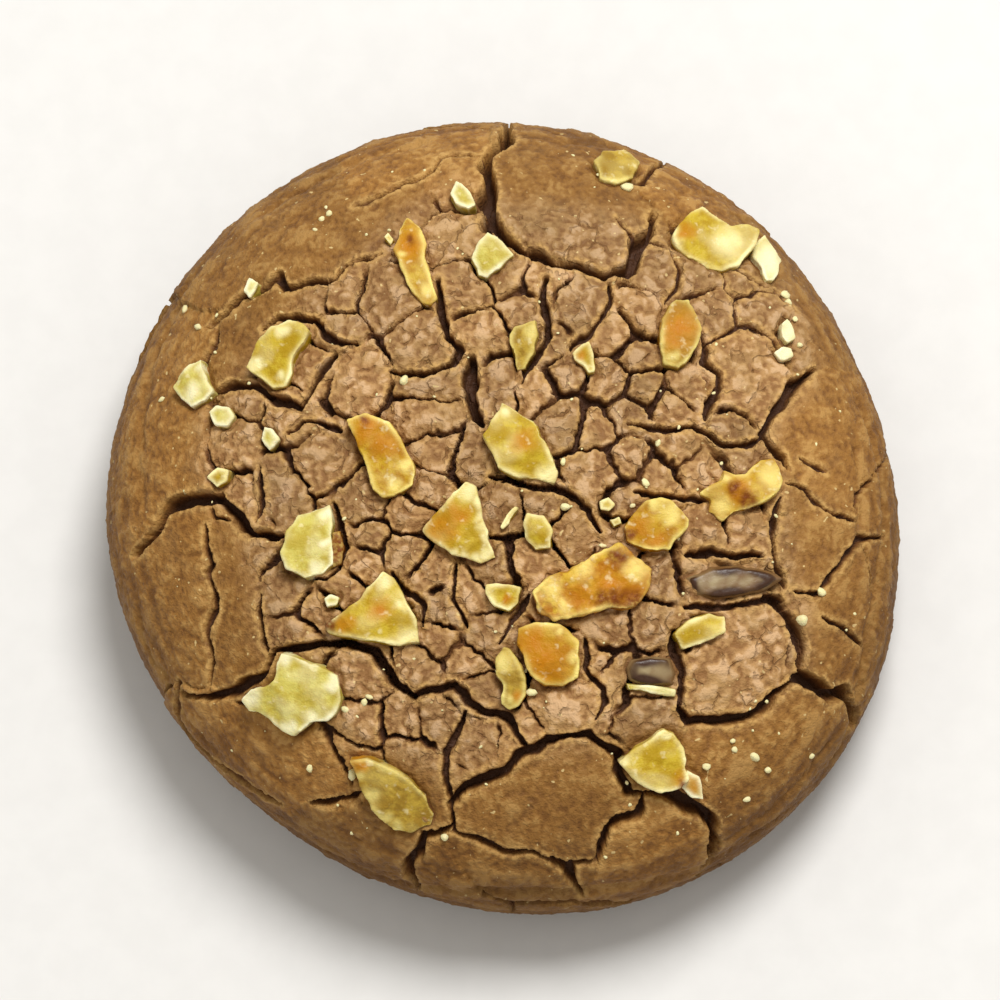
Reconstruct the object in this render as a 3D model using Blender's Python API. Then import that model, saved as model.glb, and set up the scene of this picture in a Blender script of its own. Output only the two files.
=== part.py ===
"""A walnut crackle cookie: a domed cocoa cookie with a split crust and chopped walnut baked into its top.

The cookie stands on its flat base with the base's centre at the origin, +Z up. Lengths are written in
millimetres, and the finished mesh is scaled to metres.
"""

import math
import random
from dataclasses import dataclass

import bmesh
import bpy
import numpy as np
from mathutils import Matrix, Vector, noise

MM = 0.001

# Driving dimensions of the cookie
DIAMETER = 62.0
HEIGHT = 21.5  # of the crust; the highest walnut stands a little above it
WAIST_HEIGHT = 8.0  # where the cookie is widest
BASE_RADIUS = 27.0  # of the flat that it stands on
CROWN_FLATNESS = 2.4  # exponent of the dome's section: 2 is an ellipse, more is flatter on top
FOOT_FULLNESS = 2.3  # the same for the rounded foot under the waist
OVAL_SHARE, OVAL_ANGLE = 0.035, math.radians(128)  # the outline is slightly oval along this angle
LOBE_SHARE, LOBE_ANGLE = 0.010, math.radians(310)  # and slightly three-lobed
SWELL, SWELL_LENGTH = 1.1, 17.0  # broad lumps of the dough: height and wavelength

# The main cracks and the walnut are placed by how far right and up they lie from the middle of the cookie's
# outline in one view: from above, but tipped towards the front and swung towards the right
VIEW_TILT, VIEW_SWING = math.radians(14), math.radians(5)
VIEW_MIDDLE = (-0.7, 1.7)  # where that middle lies from the base's centre, right and up in the view

# How the crust splits
CRACKLE_RADII = (18.0, 24.5)  # small plates inside the first radius, large rim plates outside the second
SMALL_PLATE, LARGE_PLATE = 4.0, 10.0  # spacing of the plates' centres in the middle and at the rim
PLATE_VARIETY = (0.62, 1.1)  # how that spacing varies
PLATE_STEP = 0.30  # how far one plate may stand above the next
CRACK_WIDTH, CRACK_DEPTH = 0.62, 1.0  # half width and depth of a common crack
CRACK_BOLDNESS = (-0.25, 1.25)  # range of their strengths: below 0 a crack stays shut, above 1 it is whole
RIM_CALM = 0.6  # how much weaker the cracks are between rim plates
JAG, JAG_LENGTH = 0.55, 2.4  # how far a crack strays sideways, and over what length
FINE_JAG, FINE_JAG_LENGTH = 0.25, 0.9
FADE_HEIGHTS = (3.0, 8.0)  # cracks start to show at the first height and are whole at the second

# The mesh
BALL_SUBDIVISIONS = 8
EDGE_TILT = math.radians(118)  # polar angle on the starting ball that becomes the edge of the base
BODY_TRIANGLES = 8600
SECTION_STEPS = 400
DARTS = 9000  # tries at placing a plate
NEAR_PLATES = 6  # plates that may border a point
ROWS_AT_ONCE = 8000  # points worked out together
NORMAL_STEP = 0.002  # share of the spread, and turn, between the points that a normal is worked out from

SEED = 23


@dataclass(frozen=True)
class Crack:
    """A main crack: its half width and depth, and the points (right, up) of the view that it passes."""

    half_width: float
    depth: float
    route: tuple


MAIN_CRACKS = (
    Crack(1.00, 2.6, ((-0.5, 30.7), (-1.9, 27.0), (-1.2, 23.3))),
    Crack(0.70, 1.7, ((-1.2, 23.3), (2.2, 21.6), (4.9, 19.9), (7.2, 18.9), (9.9, 20.2), (11.0, 22.2))),
    Crack(0.65, 1.6, ((-28.8, -2.4), (-25.6, 1.3), (-22.1, 1.9), (-19.5, -0.5), (-17.2, -1.0))),
    Crack(0.80, 1.9, ((-24.8, -13.5), (-19.0, -12.1), (-17.2, -9.8), (-12.3, -9.9), (-8.1, -12.5))),
    Crack(0.70, 1.7, ((-5.6, -22.9), (-3.4, -20.6), (1.0, -18.0), (5.4, -17.2), (8.1, -19.9), (9.9, -21.6))),
    Crack(0.75, 1.8, ((7.2, -25.9), (8.1, -22.9), (10.3, -21.6), (13.3, -21.2), (16.0, -23.3), (15.5, -27))),
    Crack(0.55, 1.2, ((-5.6, -22.9), (-0.8, -25.1), (4.9, -27.0), (7.2, -25.9))),
    Crack(0.60, 1.4, ((-7.2, -27.0), (-5.9, -24.6), (-6.0, -22.6))),
    Crack(0.75, 1.8, ((14.3, -16.2), (17.4, -15.5), (21.7, -13.5), (22.4, -12.5), (26, -14.5), (27, -16))),
    Crack(0.60, 1.4, ((24.6, 11.1), (22.0, 10.1), (20.2, 6.7), (20.7, 1.0), (21.1, -4.0), (22.4, -12.5))),
    Crack(0.45, 0.9, ((23.3, -7.4), (25.1, -5.4), (28.5, -2.2))),
    Crack(0.50, 1.2, ((-3.7, 28.8), (-7.6, 26.3), (-11.0, 25.3))),
    Crack(0.55, 1.3, ((-9.4, 22.1), (-12.3, 20.2), (-16.7, 18.7), (-19.0, 16.5), (-23.3, 15.3))),
    Crack(0.70, 1.8, ((-2.7, 12.5), (-2.9, 10.2), (-2.7, 8.1))),
    Crack(0.50, 1.2, ((0.2, 2.4), (3.9, 1.9), (7.9, -0.8))),
    Crack(0.45, 0.8, ((-22.7, -0.3), (-22.3, -5.3), (-23.0, -11.5))),
    Crack(0.50, 0.9, ((-25.1, -13.1), (-23.4, -17.5), (-18.0, -21.6), (-13.6, -21.9), (-9.0, -21.6))),
)


@dataclass(frozen=True)
class Bit:
    """A piece of chopped walnut, with its middle's place (right, up) in the view.

    It has a length and a width, stands this far out of the crust, is turned by so many degrees, and has so
    many corners.
    """

    right: float
    up: float
    long: float
    wide: float
    stand: float
    turn: float
    corners: int


WALNUT_BITS = (
    Bit(6.9, -5.1, 8.8, 3.7, 1.6, 22, 6),
    Bit(-16.3, -13.1, 7.4, 6.1, 1.3, -10, 6),
    Bit(-8.6, -20.9, 7.8, 3.4, 1.1, -40, 5),
    Bit(17.4, -4.7, 7.1, 3.0, 0.7, 0, 6),
    Bit(-9.8, -7.2, 7.2, 6.0, 1.6, 0, 3),
    Bit(16.3, 21.6, 6.7, 3.0, 1.3, -15, 5),
    Bit(18.7, 2.7, 6.1, 3.7, 1.3, 30, 5),
    Bit(-3.4, 0.1, 6.2, 5.6, 1.5, 30, 3),
    Bit(-7.8, 19.5, 5.7, 2.2, 1.2, -60, 5),
    Bit(-9.4, 5.4, 5.7, 3.2, 1.3, -60, 4),
    Bit(-18.2, 13.5, 5.4, 3.7, 1.4, 50, 4),
    Bit(0.5, 6.1, 5.4, 4.4, 1.4, -50, 5),
    Bit(-15.5, -1.0, 5.2, 3.6, 1.3, 90, 5),
    Bit(3.4, -9.8, 5.0, 4.7, 1.6, -40, 6),
    Bit(11.6, -18.5, 5.0, 4.7, 1.3, -30, 4),
    Bit(13.6, 14.5, 4.7, 3.0, 1.3, 85, 6),
    Bit(11.6, -0.7, 4.7, 3.7, 1.5, 15, 6),
    Bit(0.5, -12.1, 4.7, 2.7, 1.2, -70, 5),
    Bit(22.1, 13.8, 4.4, 1.7, 0.9, 80, 5),
    Bit(1.9, 14.2, 4.0, 1.6, 1.0, 80, 4),
    Bit(14.7, -8.6, 3.7, 2.1, 1.0, 15, 5),
    Bit(11.6, -11.1, 3.4, 2.0, 0.8, -10, 5),
    Bit(-1.2, 20.6, 3.1, 2.8, 1.1, 20, 4),
    Bit(-24.3, 11.1, 3.2, 3.0, 1.1, 60, 5),
    Bit(8.3, 27.3, 3.2, 2.0, 0.9, -5, 5),
    Bit(20.7, 19.2, 3.0, 1.8, 0.8, -60, 5),
    Bit(5.9, 12.5, 2.8, 1.7, 1.0, -60, 4),
    Bit(-0.2, -5.7, 2.7, 1.9, 1.0, 0, 5),
    Bit(2.4, -1.0, 2.3, 2.1, 1.0, 40, 5),
    Bit(-2.9, 24.9, 2.0, 1.8, 1.0, 70, 5),
    Bit(-21.9, 8.3, 2.0, 1.9, 0.9, 0, 5),
    Bit(-22.7, 3.4, 2.0, 1.7, 0.9, -30, 5),
)
BIT_ROOT = 3.2  # how far a bit reaches into the cookie, deeper than any crack so that none is sealed under it
BIT_TAPER = 0.62  # the width of its upper face, as a share of its lower one's
BIT_UNEVEN = 0.08  # how far its corners stray, as a share of its size
BIT_LEAN = 0.5  # how far its upper face slopes, as a share of its height


def outline_share(angle):
    """The cookie's radius in this direction, as a share of its mean radius."""
    oval = OVAL_SHARE * np.cos(2 * (angle - OVAL_ANGLE))
    return 1 + oval + LOBE_SHARE * np.cos(3 * (angle - LOBE_ANGLE))


def smooth(low, high, value):
    """0 below low, 1 above high, and a smooth step between."""
    share = np.clip((value - low) / (high - low), 0, 1)
    return share * share * (3 - 2 * share)


def section():
    """The cookie's half section as (radius, height) rows, from the crown over waist and foot to the base."""
    radius = DIAMETER / 2
    turn = np.linspace(0.002, math.pi / 2, SECTION_STEPS)
    crown_radius = radius * np.sin(turn) ** (2 / CROWN_FLATNESS)
    crown = np.column_stack((crown_radius, WAIST_HEIGHT + (HEIGHT - WAIST_HEIGHT) * np.cos(turn)))
    foot_radius = BASE_RADIUS + (radius - BASE_RADIUS) * np.cos(turn) ** (2 / FOOT_FULLNESS)
    foot = np.column_stack((foot_radius, WAIST_HEIGHT * (1 - np.sin(turn) ** (2 / FOOT_FULLNESS))))
    base_radius = np.geomspace(BASE_RADIUS, 0.01, SECTION_STEPS)
    base = np.column_stack((base_radius, np.zeros(SECTION_STEPS)))
    return np.vstack((crown, foot[1:], base[1:]))


class Dome:
    """The smooth cookie, and the plane that its surface is laid out on.

    A place on the plane is an angle and a spread. The spread is a radius that grows all the way from the
    crown, over the waist, to the middle of the base, at the rate that keeps small shapes true to form.
    """

    def __init__(self):
        rows = section()
        step = np.diff(rows, axis=0)
        growth = np.hypot(step[:, 0], step[:, 1]) * 2 / (rows[1:, 0] + rows[:-1, 0])
        self.log_spread = math.log(rows[0, 0]) + np.concatenate(([0.0], np.cumsum(growth)))
        self.radius, self.height = rows.T
        self.waist = int(np.argmax(self.radius))
        self.edge_spread = math.exp(self.log_spread[int(np.argmin(self.height))])

    def radius_height(self, spread):
        """The section's radius and height at each spread."""
        place = np.log(spread)
        radius = np.minimum(np.interp(place, self.log_spread, self.radius), spread)
        return radius, np.interp(place, self.log_spread, self.height)

    def spread_at(self, radius):
        """The spread where the upper side has this radius."""
        upper = slice(0, self.waist + 1)
        return np.exp(np.interp(radius, self.radius[upper], self.log_spread[upper]))

    def points(self, angle, spread):
        """Points on the cookie, with the dough's broad lumps."""
        radius, height = self.radius_height(spread)
        out = radius * outline_share(angle)
        x, y = out * np.cos(angle), out * np.sin(angle)
        lumps = np.array([noise.noise(Vector((a, b, 7.0)) / SWELL_LENGTH) for a, b in zip(x, y)])
        return np.column_stack((x, y, height + SWELL * lumps * height / HEIGHT))

    def normals(self, angle, spread):
        """The directions straight out of the cookie."""
        here = self.points(angle, spread)
        outward = self.points(angle, spread * (1 + NORMAL_STEP)) - here
        sideways = self.points(angle + NORMAL_STEP, spread) - here
        normal = np.cross(outward, sideways)
        return normal / np.linalg.norm(normal, axis=1)[:, None]

    def seen(self, right, up):
        """The (angle, spread) that shows at this place of the view."""
        low, high = WAIST_HEIGHT, HEIGHT
        for _ in range(24):
            level = (low + high) / 2
            x = (right + VIEW_MIDDLE[0] + level * math.sin(VIEW_SWING)) / math.cos(VIEW_SWING)
            y = (up + VIEW_MIDDLE[1] - level * math.sin(VIEW_TILT)) / math.cos(VIEW_TILT)
            angle = math.atan2(y, x)
            radius = math.hypot(x, y) / outline_share(angle)
            crust_level = np.interp(radius, self.radius[: self.waist + 1], self.height[: self.waist + 1])
            if crust_level < level:
                high = level
            else:
                low = level
        return angle, float(self.spread_at(radius))


def plane_xy(angle, spread):
    """Flat coordinates of places on the dome's plane."""
    return np.column_stack((spread * np.cos(angle), spread * np.sin(angle)))


def rim_share(dome, spread):
    """0 where the plates are small, 1 where they are as large as at the rim."""
    inner, outer = dome.spread_at(np.array(CRACKLE_RADII))
    return smooth(inner, outer, spread)


def plate_seeds(dome):
    """Centres of the crust's plates on the dome's plane."""
    draw = random.Random(SEED)
    seeds = []
    for _ in range(DARTS):
        spread = dome.edge_spread * math.sqrt(draw.uniform(0.0001, 1))
        angle = draw.uniform(0, 2 * math.pi)
        radius, _ = dome.radius_height(spread)
        gap = SMALL_PLATE + (LARGE_PLATE - SMALL_PLATE) * rim_share(dome, spread)
        gap *= draw.uniform(*PLATE_VARIETY) * spread / radius
        place = (spread * math.cos(angle), spread * math.sin(angle))
        if all(math.dist(place, seed) > gap for seed in seeds):
            seeds.append(place)
    return np.array(seeds)


def pair_draw(first, second, salt):
    """A number from 0 to 1 that belongs to a pair of plates, whichever is named first."""
    wave = np.sin(np.minimum(first, second) * 127.1 + np.maximum(first, second) * 311.7 + salt) * 43758.5
    return wave - np.floor(wave)


def crackle(place, stretch, at_rim, seeds):
    """The depth of the cracks between plates, and the step of the plate, at places on the dome's plane."""
    gap = np.linalg.norm(place[:, None] - seeds[None], axis=2)
    order = np.argpartition(gap, NEAR_PLATES, axis=1)[:, :NEAR_PLATES]
    near = np.take_along_axis(gap, order, axis=1)
    rank = np.argsort(near, axis=1)
    order, near = np.take_along_axis(order, rank, 1), np.take_along_axis(near, rank, 1)
    own = order[:, 0]
    depth = np.zeros(len(place))
    for other, far in zip(order[:, 1:].T, near[:, 1:].T):
        apart = np.linalg.norm(seeds[own] - seeds[other], axis=1)
        border = (far**2 - near[:, 0] ** 2) / (2 * apart * stretch)
        low, high = CRACK_BOLDNESS
        bold = np.clip(low + (high - low) * pair_draw(own, other, 1.0) - RIM_CALM * at_rim, 0, 1)
        width = CRACK_WIDTH * (0.6 + 0.7 * bold)
        depth = np.maximum(depth, CRACK_DEPTH * bold * (1 - smooth(0.1 * width, width, border)))
    step = (pair_draw(own, own, 5.0) - 0.5) * PLATE_STEP * (1 - RIM_CALM * at_rim)
    return depth, step


def main_crack_depth(dome, place, stretch):
    """The depth of the main cracks at places on the dome's plane."""
    depth = np.zeros(len(place))
    for crack in MAIN_CRACKS:
        angle, spread = np.array([dome.seen(*point) for point in crack.route]).T
        route = plane_xy(angle, spread)
        for index, (start, end) in enumerate(zip(route, route[1:])):
            run = end - start
            share = np.clip((place - start) @ run / (run @ run), 0, 1)
            away = np.linalg.norm(place - start - share[:, None] * run, axis=1) / stretch
            along = (index + share) / (len(route) - 1)
            width = crack.half_width * np.minimum(1, 0.5 + 3.0 * np.minimum(along, 1 - along))
            depth = np.maximum(depth, crack.depth * (1 - smooth(0.15 * width, width, away)))
    return depth


def crust_relief(dome, points, angle, spread, seeds):
    """How far each point of the cookie moves out along its normal."""
    radius, _ = dome.radius_height(spread)
    stretch = spread / radius
    jag = np.array([noise.noise_vector(Vector(point) / JAG_LENGTH)[:2] for point in points]) * JAG
    fine = np.array([noise.noise_vector(Vector(point) / FINE_JAG_LENGTH)[:2] for point in points])
    place = plane_xy(angle, spread) + (jag + fine * FINE_JAG) * stretch[:, None]
    depth, step = crackle(place, stretch, rim_share(dome, spread), seeds)
    depth = np.maximum(depth, main_crack_depth(dome, place, stretch))
    return (step - depth) * smooth(*FADE_HEIGHTS, points[:, 2])


def add_material(name, colour, roughness):
    """A plain baked or cut surface."""
    material = bpy.data.materials.new(name)
    material.use_nodes = True
    shader = material.node_tree.nodes["Principled BSDF"]
    shader.inputs["Base Color"].default_value = (*colour, 1)
    shader.inputs["Roughness"].default_value = roughness
    shader.inputs["Metallic"].default_value = 0
    return material


def add_body(dome, material):
    """The cookie without its walnut: a ball wrapped on the dome, split, and thinned to few triangles."""
    bpy.ops.mesh.primitive_ico_sphere_add(subdivisions=BALL_SUBDIVISIONS, radius=1)
    body = bpy.context.object
    body.name = "walnut_cookie"
    mesh = body.data
    directions = np.empty(len(mesh.vertices) * 3)
    mesh.vertices.foreach_get("co", directions)
    x, y, z = directions.reshape(-1, 3).T
    angle = np.arctan2(y, x)
    tilt = np.clip(np.arctan2(np.hypot(x, y), z), 0.001, math.pi - 0.001)
    spread = dome.edge_spread * np.tan(tilt / 2) / math.tan(EDGE_TILT / 2)
    points = dome.points(angle, spread)
    seeds = plate_seeds(dome)
    split = np.flatnonzero(points[:, 2] > FADE_HEIGHTS[0])
    for rows in np.array_split(split, math.ceil(len(split) / ROWS_AT_ONCE)):
        relief = crust_relief(dome, points[rows], angle[rows], spread[rows], seeds)
        points[rows] += dome.normals(angle[rows], spread[rows]) * relief[:, None]
    mesh.vertices.foreach_set("co", (points * MM).ravel())
    mesh.update()
    mesh.materials.append(material)
    thin = body.modifiers.new("Fewer triangles", "DECIMATE")
    thin.ratio = BODY_TRIANGLES / len(mesh.polygons)
    thin.use_collapse_triangulate = True
    bpy.ops.object.modifier_apply(modifier=thin.name)
    return body


def add_bit(index, bit, dome, material, draw):
    """One piece of chopped walnut: a tapered prism with uneven corners, pressed into the crust."""
    angle, spread = (np.array([value]) for value in dome.seen(bit.right, bit.up))
    here, normal = Vector(dome.points(angle, spread)[0]), Vector(dome.normals(angle, spread)[0])
    upright = Vector((0, 0, 1)).rotation_difference(normal).to_matrix().to_4x4()
    turn = Matrix.Rotation(math.radians(bit.turn), 4, "Z")
    at_crust = 1 - (1 - BIT_TAPER) * BIT_ROOT / (BIT_ROOT + bit.stand)
    bpy.ops.mesh.primitive_cone_add(
        vertices=bit.corners, radius1=0.5 / at_crust, radius2=0.5 * BIT_TAPER / at_crust, depth=1
    )
    piece = bpy.context.object
    piece.name = f"walnut_bit_{index:02d}"
    slope = Vector((draw.uniform(-1, 1), draw.uniform(-1, 1))) * BIT_LEAN
    shape = bmesh.new()
    shape.from_mesh(piece.data)
    for vertex in shape.verts:
        x = vertex.co.x + draw.uniform(-BIT_UNEVEN, BIT_UNEVEN)
        y = vertex.co.y + draw.uniform(-BIT_UNEVEN, BIT_UNEVEN)
        top = bit.stand * (1 + slope.dot((x, y)))
        vertex.co = (x * bit.long, y * bit.wide, top if vertex.co.z > 0 else -BIT_ROOT)
    shape.transform(Matrix.Scale(MM, 4) @ Matrix.Translation(here) @ upright @ turn)
    bmesh.ops.triangulate(shape, faces=shape.faces)
    shape.to_mesh(piece.data)
    shape.free()
    piece.data.materials.append(material)
    return piece


def move_to_collection(pieces, name):
    """Puts the pieces in a new collection of their own."""
    collection = bpy.data.collections.new(name)
    bpy.context.scene.collection.children.link(collection)
    for piece in pieces:
        for owner in piece.users_collection:
            owner.objects.unlink(piece)
        collection.objects.link(piece)
    return collection


def bake_in(body, pieces):
    """Joins the pieces to the body with one union, and removes them."""
    bits = move_to_collection(pieces, "walnut_bits")
    union = body.modifiers.new("Walnut baked in", "BOOLEAN")
    union.operation = "UNION"
    union.operand_type = "COLLECTION"
    union.collection = bits
    bpy.context.view_layer.objects.active = body
    bpy.ops.object.modifier_apply(modifier=union.name)
    for piece in pieces:
        bpy.data.objects.remove(piece)
    bpy.data.collections.remove(bits)


def main():
    """Builds the cookie as one solid."""
    for old in list(bpy.data.objects):
        bpy.data.objects.remove(old)
    noise.seed_set(SEED)
    dome = Dome()
    crust = add_material("cocoa_crust", (0.28, 0.15, 0.045), 0.8)
    walnut = add_material("chopped_walnut", (0.62, 0.40, 0.10), 0.55)
    body = add_body(dome, crust)
    draw = random.Random(SEED)
    bake_in(body, [add_bit(index, bit, dome, walnut, draw) for index, bit in enumerate(WALNUT_BITS)])
    move_to_collection([body], "walnut_cookie")


main()
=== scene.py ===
"""The look of a walnut crackle cookie: its split crust, the chopped walnut baked into it, chips and crumbs.

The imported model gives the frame: +Z goes up through the dome, and the middle of the flat base is the origin.
Lengths here are millimetres, and each finished mesh is scaled to metres. What the photograph shows is placed
by how far right and up it lies from the middle of the cookie's outline there, as in the model's own source.
"""

import logging
import math
import random
from collections.abc import Iterable, Sequence
from dataclasses import dataclass, field
from enum import Enum
from typing import NamedTuple

import bpy
import numpy as np
from mathutils import Matrix, Vector, noise

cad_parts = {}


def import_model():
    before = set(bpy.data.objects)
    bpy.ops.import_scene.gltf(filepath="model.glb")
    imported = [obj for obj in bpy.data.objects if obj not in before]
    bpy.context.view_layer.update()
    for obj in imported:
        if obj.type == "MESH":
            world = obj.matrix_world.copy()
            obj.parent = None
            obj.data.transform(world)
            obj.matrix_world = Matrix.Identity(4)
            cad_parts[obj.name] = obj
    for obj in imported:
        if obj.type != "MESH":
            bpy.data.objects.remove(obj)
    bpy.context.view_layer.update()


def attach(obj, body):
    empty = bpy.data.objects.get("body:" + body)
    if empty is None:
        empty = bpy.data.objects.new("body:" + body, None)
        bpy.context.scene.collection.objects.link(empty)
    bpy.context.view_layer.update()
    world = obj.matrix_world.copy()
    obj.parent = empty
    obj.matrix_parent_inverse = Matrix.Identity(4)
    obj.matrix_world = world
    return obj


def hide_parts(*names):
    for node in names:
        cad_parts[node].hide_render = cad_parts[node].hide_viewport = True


LOG = logging.getLogger("walnut_cookie")
MM = 0.001
SEED = 23
COOKIE_NODE = "walnut_cookie"
FAR = 9.0  # millimetres, farther than any crack reaches
PEBBLE_LEVEL = 0.25  # what pebbles() gives on average

Spot = tuple[float, float]
Patch = tuple[float, float, float]
Colour = tuple[float, float, float]
Socket = bpy.types.NodeSocket


def smooth(low: float, high: float, value: np.ndarray) -> np.ndarray:
    """0 below low, 1 above high, and a smooth step between."""
    share = np.clip((value - low) / (high - low), 0, 1)
    return share * share * (3 - 2 * share)


def unevenness(points: np.ndarray, length: float, shift: float = 0.0) -> np.ndarray:
    """Smooth noise from about -1 to 1, with lumps of this length. Another shift gives an unrelated one."""
    return np.array([noise.noise(point) for point in (points / length + shift).tolist()])


def pebbles(points: np.ndarray, length: float, shift: float = 0.0) -> np.ndarray:
    """Rounded lumps of this size with creases between them, from 0 in a crease to about 0.7."""
    return np.abs(unevenness(points, length, shift))


def bell(value: np.ndarray, width: float) -> np.ndarray:
    """1 where the value is 0, and nearly 0 where it is more than twice this width."""
    return np.exp(-((value / width) ** 2))


def drift(points: np.ndarray, length: float) -> np.ndarray:
    """A smoothly changing sideways push at each point, as (x, y) rows from about -1 to 1."""
    return np.array([noise.noise_vector(point)[:2] for point in (points / length).tolist()])


def away_from_path(places: np.ndarray, path: np.ndarray, closed: bool = False) -> tuple[np.ndarray, np.ndarray]:
    """How far places lie from a path of straight runs.

    Args:
        places: The places, as (x, y) rows.
        path: The path's corners, as (x, y) rows.
        closed: Whether the path returns to its first corner.

    Returns:
        Each place's distance from the path, and its share of the way along it.
    """
    corners = np.vstack((path, path[:1])) if closed else path
    nearest = np.full(len(places), np.inf)
    along = np.zeros(len(places))
    for index, (start, end) in enumerate(zip(corners, corners[1:])):
        run = end - start
        share = np.clip((places - start) @ run / (run @ run), 0, 1)
        gap = np.linalg.norm(places - start - share[:, None] * run, axis=1)
        closer = gap < nearest
        nearest[closer] = gap[closer]
        along[closer] = (index + share[closer]) / (len(corners) - 1)
    return nearest, along


def beyond_outline(places: np.ndarray, outline: np.ndarray) -> np.ndarray:
    """How far each place lies outside a closed outline, and inside it as a negative distance.

    Args:
        places: The places, as (x, y) rows.
        outline: The outline's corners, as (x, y) rows.

    Returns:
        One distance for each place.
    """
    inside = np.zeros(len(places), dtype=bool)
    x, y = places.T
    for (x0, y0), (x1, y1) in zip(outline, np.roll(outline, -1, axis=0)):
        crosses = (y0 > y) != (y1 > y)
        inside ^= crosses & (x < x0 + (y - y0) * (x1 - x0) / (y1 - y0 or 1e-9))
    away, _ = away_from_path(places, outline, closed=True)
    return np.where(inside, -away, away)


def near_box(places: np.ndarray, outline: np.ndarray, margin: float) -> np.ndarray:
    """The rows of the places that lie no farther than this margin from an outline's box."""
    low, high = outline.min(axis=0) - margin, outline.max(axis=0) + margin
    return np.flatnonzero(((places > low) & (places < high)).all(axis=1))


@dataclass
class CookieForm:
    """The smooth cookie, and the plane that its surface is laid out on.

    A place on the plane is an angle and a spread. The spread is a radius that grows all the way from the
    crown, over the waist, to the middle of the base, at the rate that keeps small shapes true to form.
    """

    diameter: float = 62.0
    height: float = 21.5
    waist_height: float = 8.0
    base_radius: float = 27.0
    crown_flatness: float = 2.4
    foot_fullness: float = 2.3
    oval_share: float = 0.035
    oval_angle: float = math.radians(128)
    lobe_share: float = 0.010
    lobe_angle: float = math.radians(310)
    swell: float = 1.1
    swell_length: float = 17.0
    swell_level: float = 7.0
    view_tilt: float = math.radians(14)
    view_swing: float = math.radians(5)
    view_middle: Spot = (-0.7, 1.7)
    section_steps: int = 400
    search_steps: int = 24
    crown_start: float = 0.0001
    base_end: float = 0.01
    normal_step: float = 0.002

    def __post_init__(self) -> None:
        """Works out the half section and how the plane's spread grows along it."""
        rows = self.section()
        step = np.diff(rows, axis=0)
        growth = np.hypot(step[:, 0], step[:, 1]) * 2 / (rows[1:, 0] + rows[:-1, 0])
        self.log_spread = math.log(rows[0, 0]) + np.concatenate(([0.0], np.cumsum(growth)))
        self.radii, self.heights = rows.T
        self.waist = int(np.argmax(self.radii))
        self.edge_spread = math.exp(self.log_spread[int(np.argmin(self.heights))])

    def section(self) -> np.ndarray:
        """The half section as (radius, height) rows, from the crown over waist and foot to the base.

        Returns:
            The rows, in millimetres.
        """
        radius, steps = self.diameter / 2, self.section_steps
        turn = np.geomspace(self.crown_start, math.pi / 2, steps)
        rise = self.height - self.waist_height
        crown_radius = radius * np.sin(turn) ** (2 / self.crown_flatness)
        crown = np.column_stack((crown_radius, self.waist_height + rise * np.cos(turn)))
        turn = np.linspace(0.0, math.pi / 2, steps)
        foot_radius = self.base_radius + (radius - self.base_radius) * np.cos(turn) ** (2 / self.foot_fullness)
        foot_height = self.waist_height * (1 - np.sin(turn) ** (2 / self.foot_fullness))
        base_radius = np.geomspace(self.base_radius, self.base_end, steps)
        base = np.column_stack((base_radius, np.zeros(steps)))
        return np.vstack((crown, np.column_stack((foot_radius, foot_height))[1:], base[1:]))

    def outline_share(self, angle: np.ndarray) -> np.ndarray:
        """The cookie's radius in this direction, as a share of its mean radius."""
        oval = self.oval_share * np.cos(2 * (angle - self.oval_angle))
        return 1 + oval + self.lobe_share * np.cos(3 * (angle - self.lobe_angle))

    def radius_height(self, spread: np.ndarray) -> tuple[np.ndarray, np.ndarray]:
        """The section's radius and height at each spread.

        Args:
            spread: Spreads on the cookie's plane.

        Returns:
            A radius and a height for each.
        """
        place = np.log(spread)
        radius = np.minimum(np.interp(place, self.log_spread, self.radii), spread)
        return radius, np.interp(place, self.log_spread, self.heights)

    def spread_at(self, radius: np.ndarray) -> np.ndarray:
        """The spread where the upper side has this radius."""
        upper = slice(0, self.waist + 1)
        return np.exp(np.interp(radius, self.radii[upper], self.log_spread[upper]))

    def points(self, angle: np.ndarray, spread: np.ndarray) -> np.ndarray:
        """Points on the smooth cookie, with the dough's broad lumps.

        Args:
            angle: Each one's angle.
            spread: Each one's spread.

        Returns:
            The points, as (x, y, z) rows.
        """
        radius, height = self.radius_height(spread)
        out = radius * self.outline_share(angle)
        flat = np.column_stack((out * np.cos(angle), out * np.sin(angle), np.full(len(out), self.swell_level)))
        lumps = unevenness(flat, self.swell_length)
        return np.column_stack((flat[:, :2], height + self.swell * lumps * height / self.height))

    def normals(self, angle: np.ndarray, spread: np.ndarray) -> np.ndarray:
        """The directions straight out of the cookie.

        Args:
            angle: Each point's angle.
            spread: Each one's spread.

        Returns:
            The directions, as rows of length 1.
        """
        here = self.points(angle, spread)
        outward = self.points(angle, spread * (1 + self.normal_step)) - here
        sideways = self.points(angle + self.normal_step, spread) - here
        normal = np.cross(outward, sideways)
        return normal / np.linalg.norm(normal, axis=1)[:, None]

    def seen(self, spot: Spot) -> tuple[float, float]:
        """The (angle, spread) that shows at this (right, up) place of the view.

        Args:
            spot: The place of the view.

        Returns:
            The angle and spread.
        """
        low, high = self.waist_height, self.height
        upper = slice(0, self.waist + 1)
        for _ in range(self.search_steps):
            level = (low + high) / 2
            x = (spot[0] + self.view_middle[0] + level * math.sin(self.view_swing)) / math.cos(self.view_swing)
            y = (spot[1] + self.view_middle[1] - level * math.sin(self.view_tilt)) / math.cos(self.view_tilt)
            angle = math.atan2(y, x)
            radius = math.hypot(x, y) / self.outline_share(angle)
            if np.interp(radius, self.radii[upper], self.heights[upper]) < level:
                high = level
            else:
                low = level
        return angle, float(self.spread_at(radius))

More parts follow.
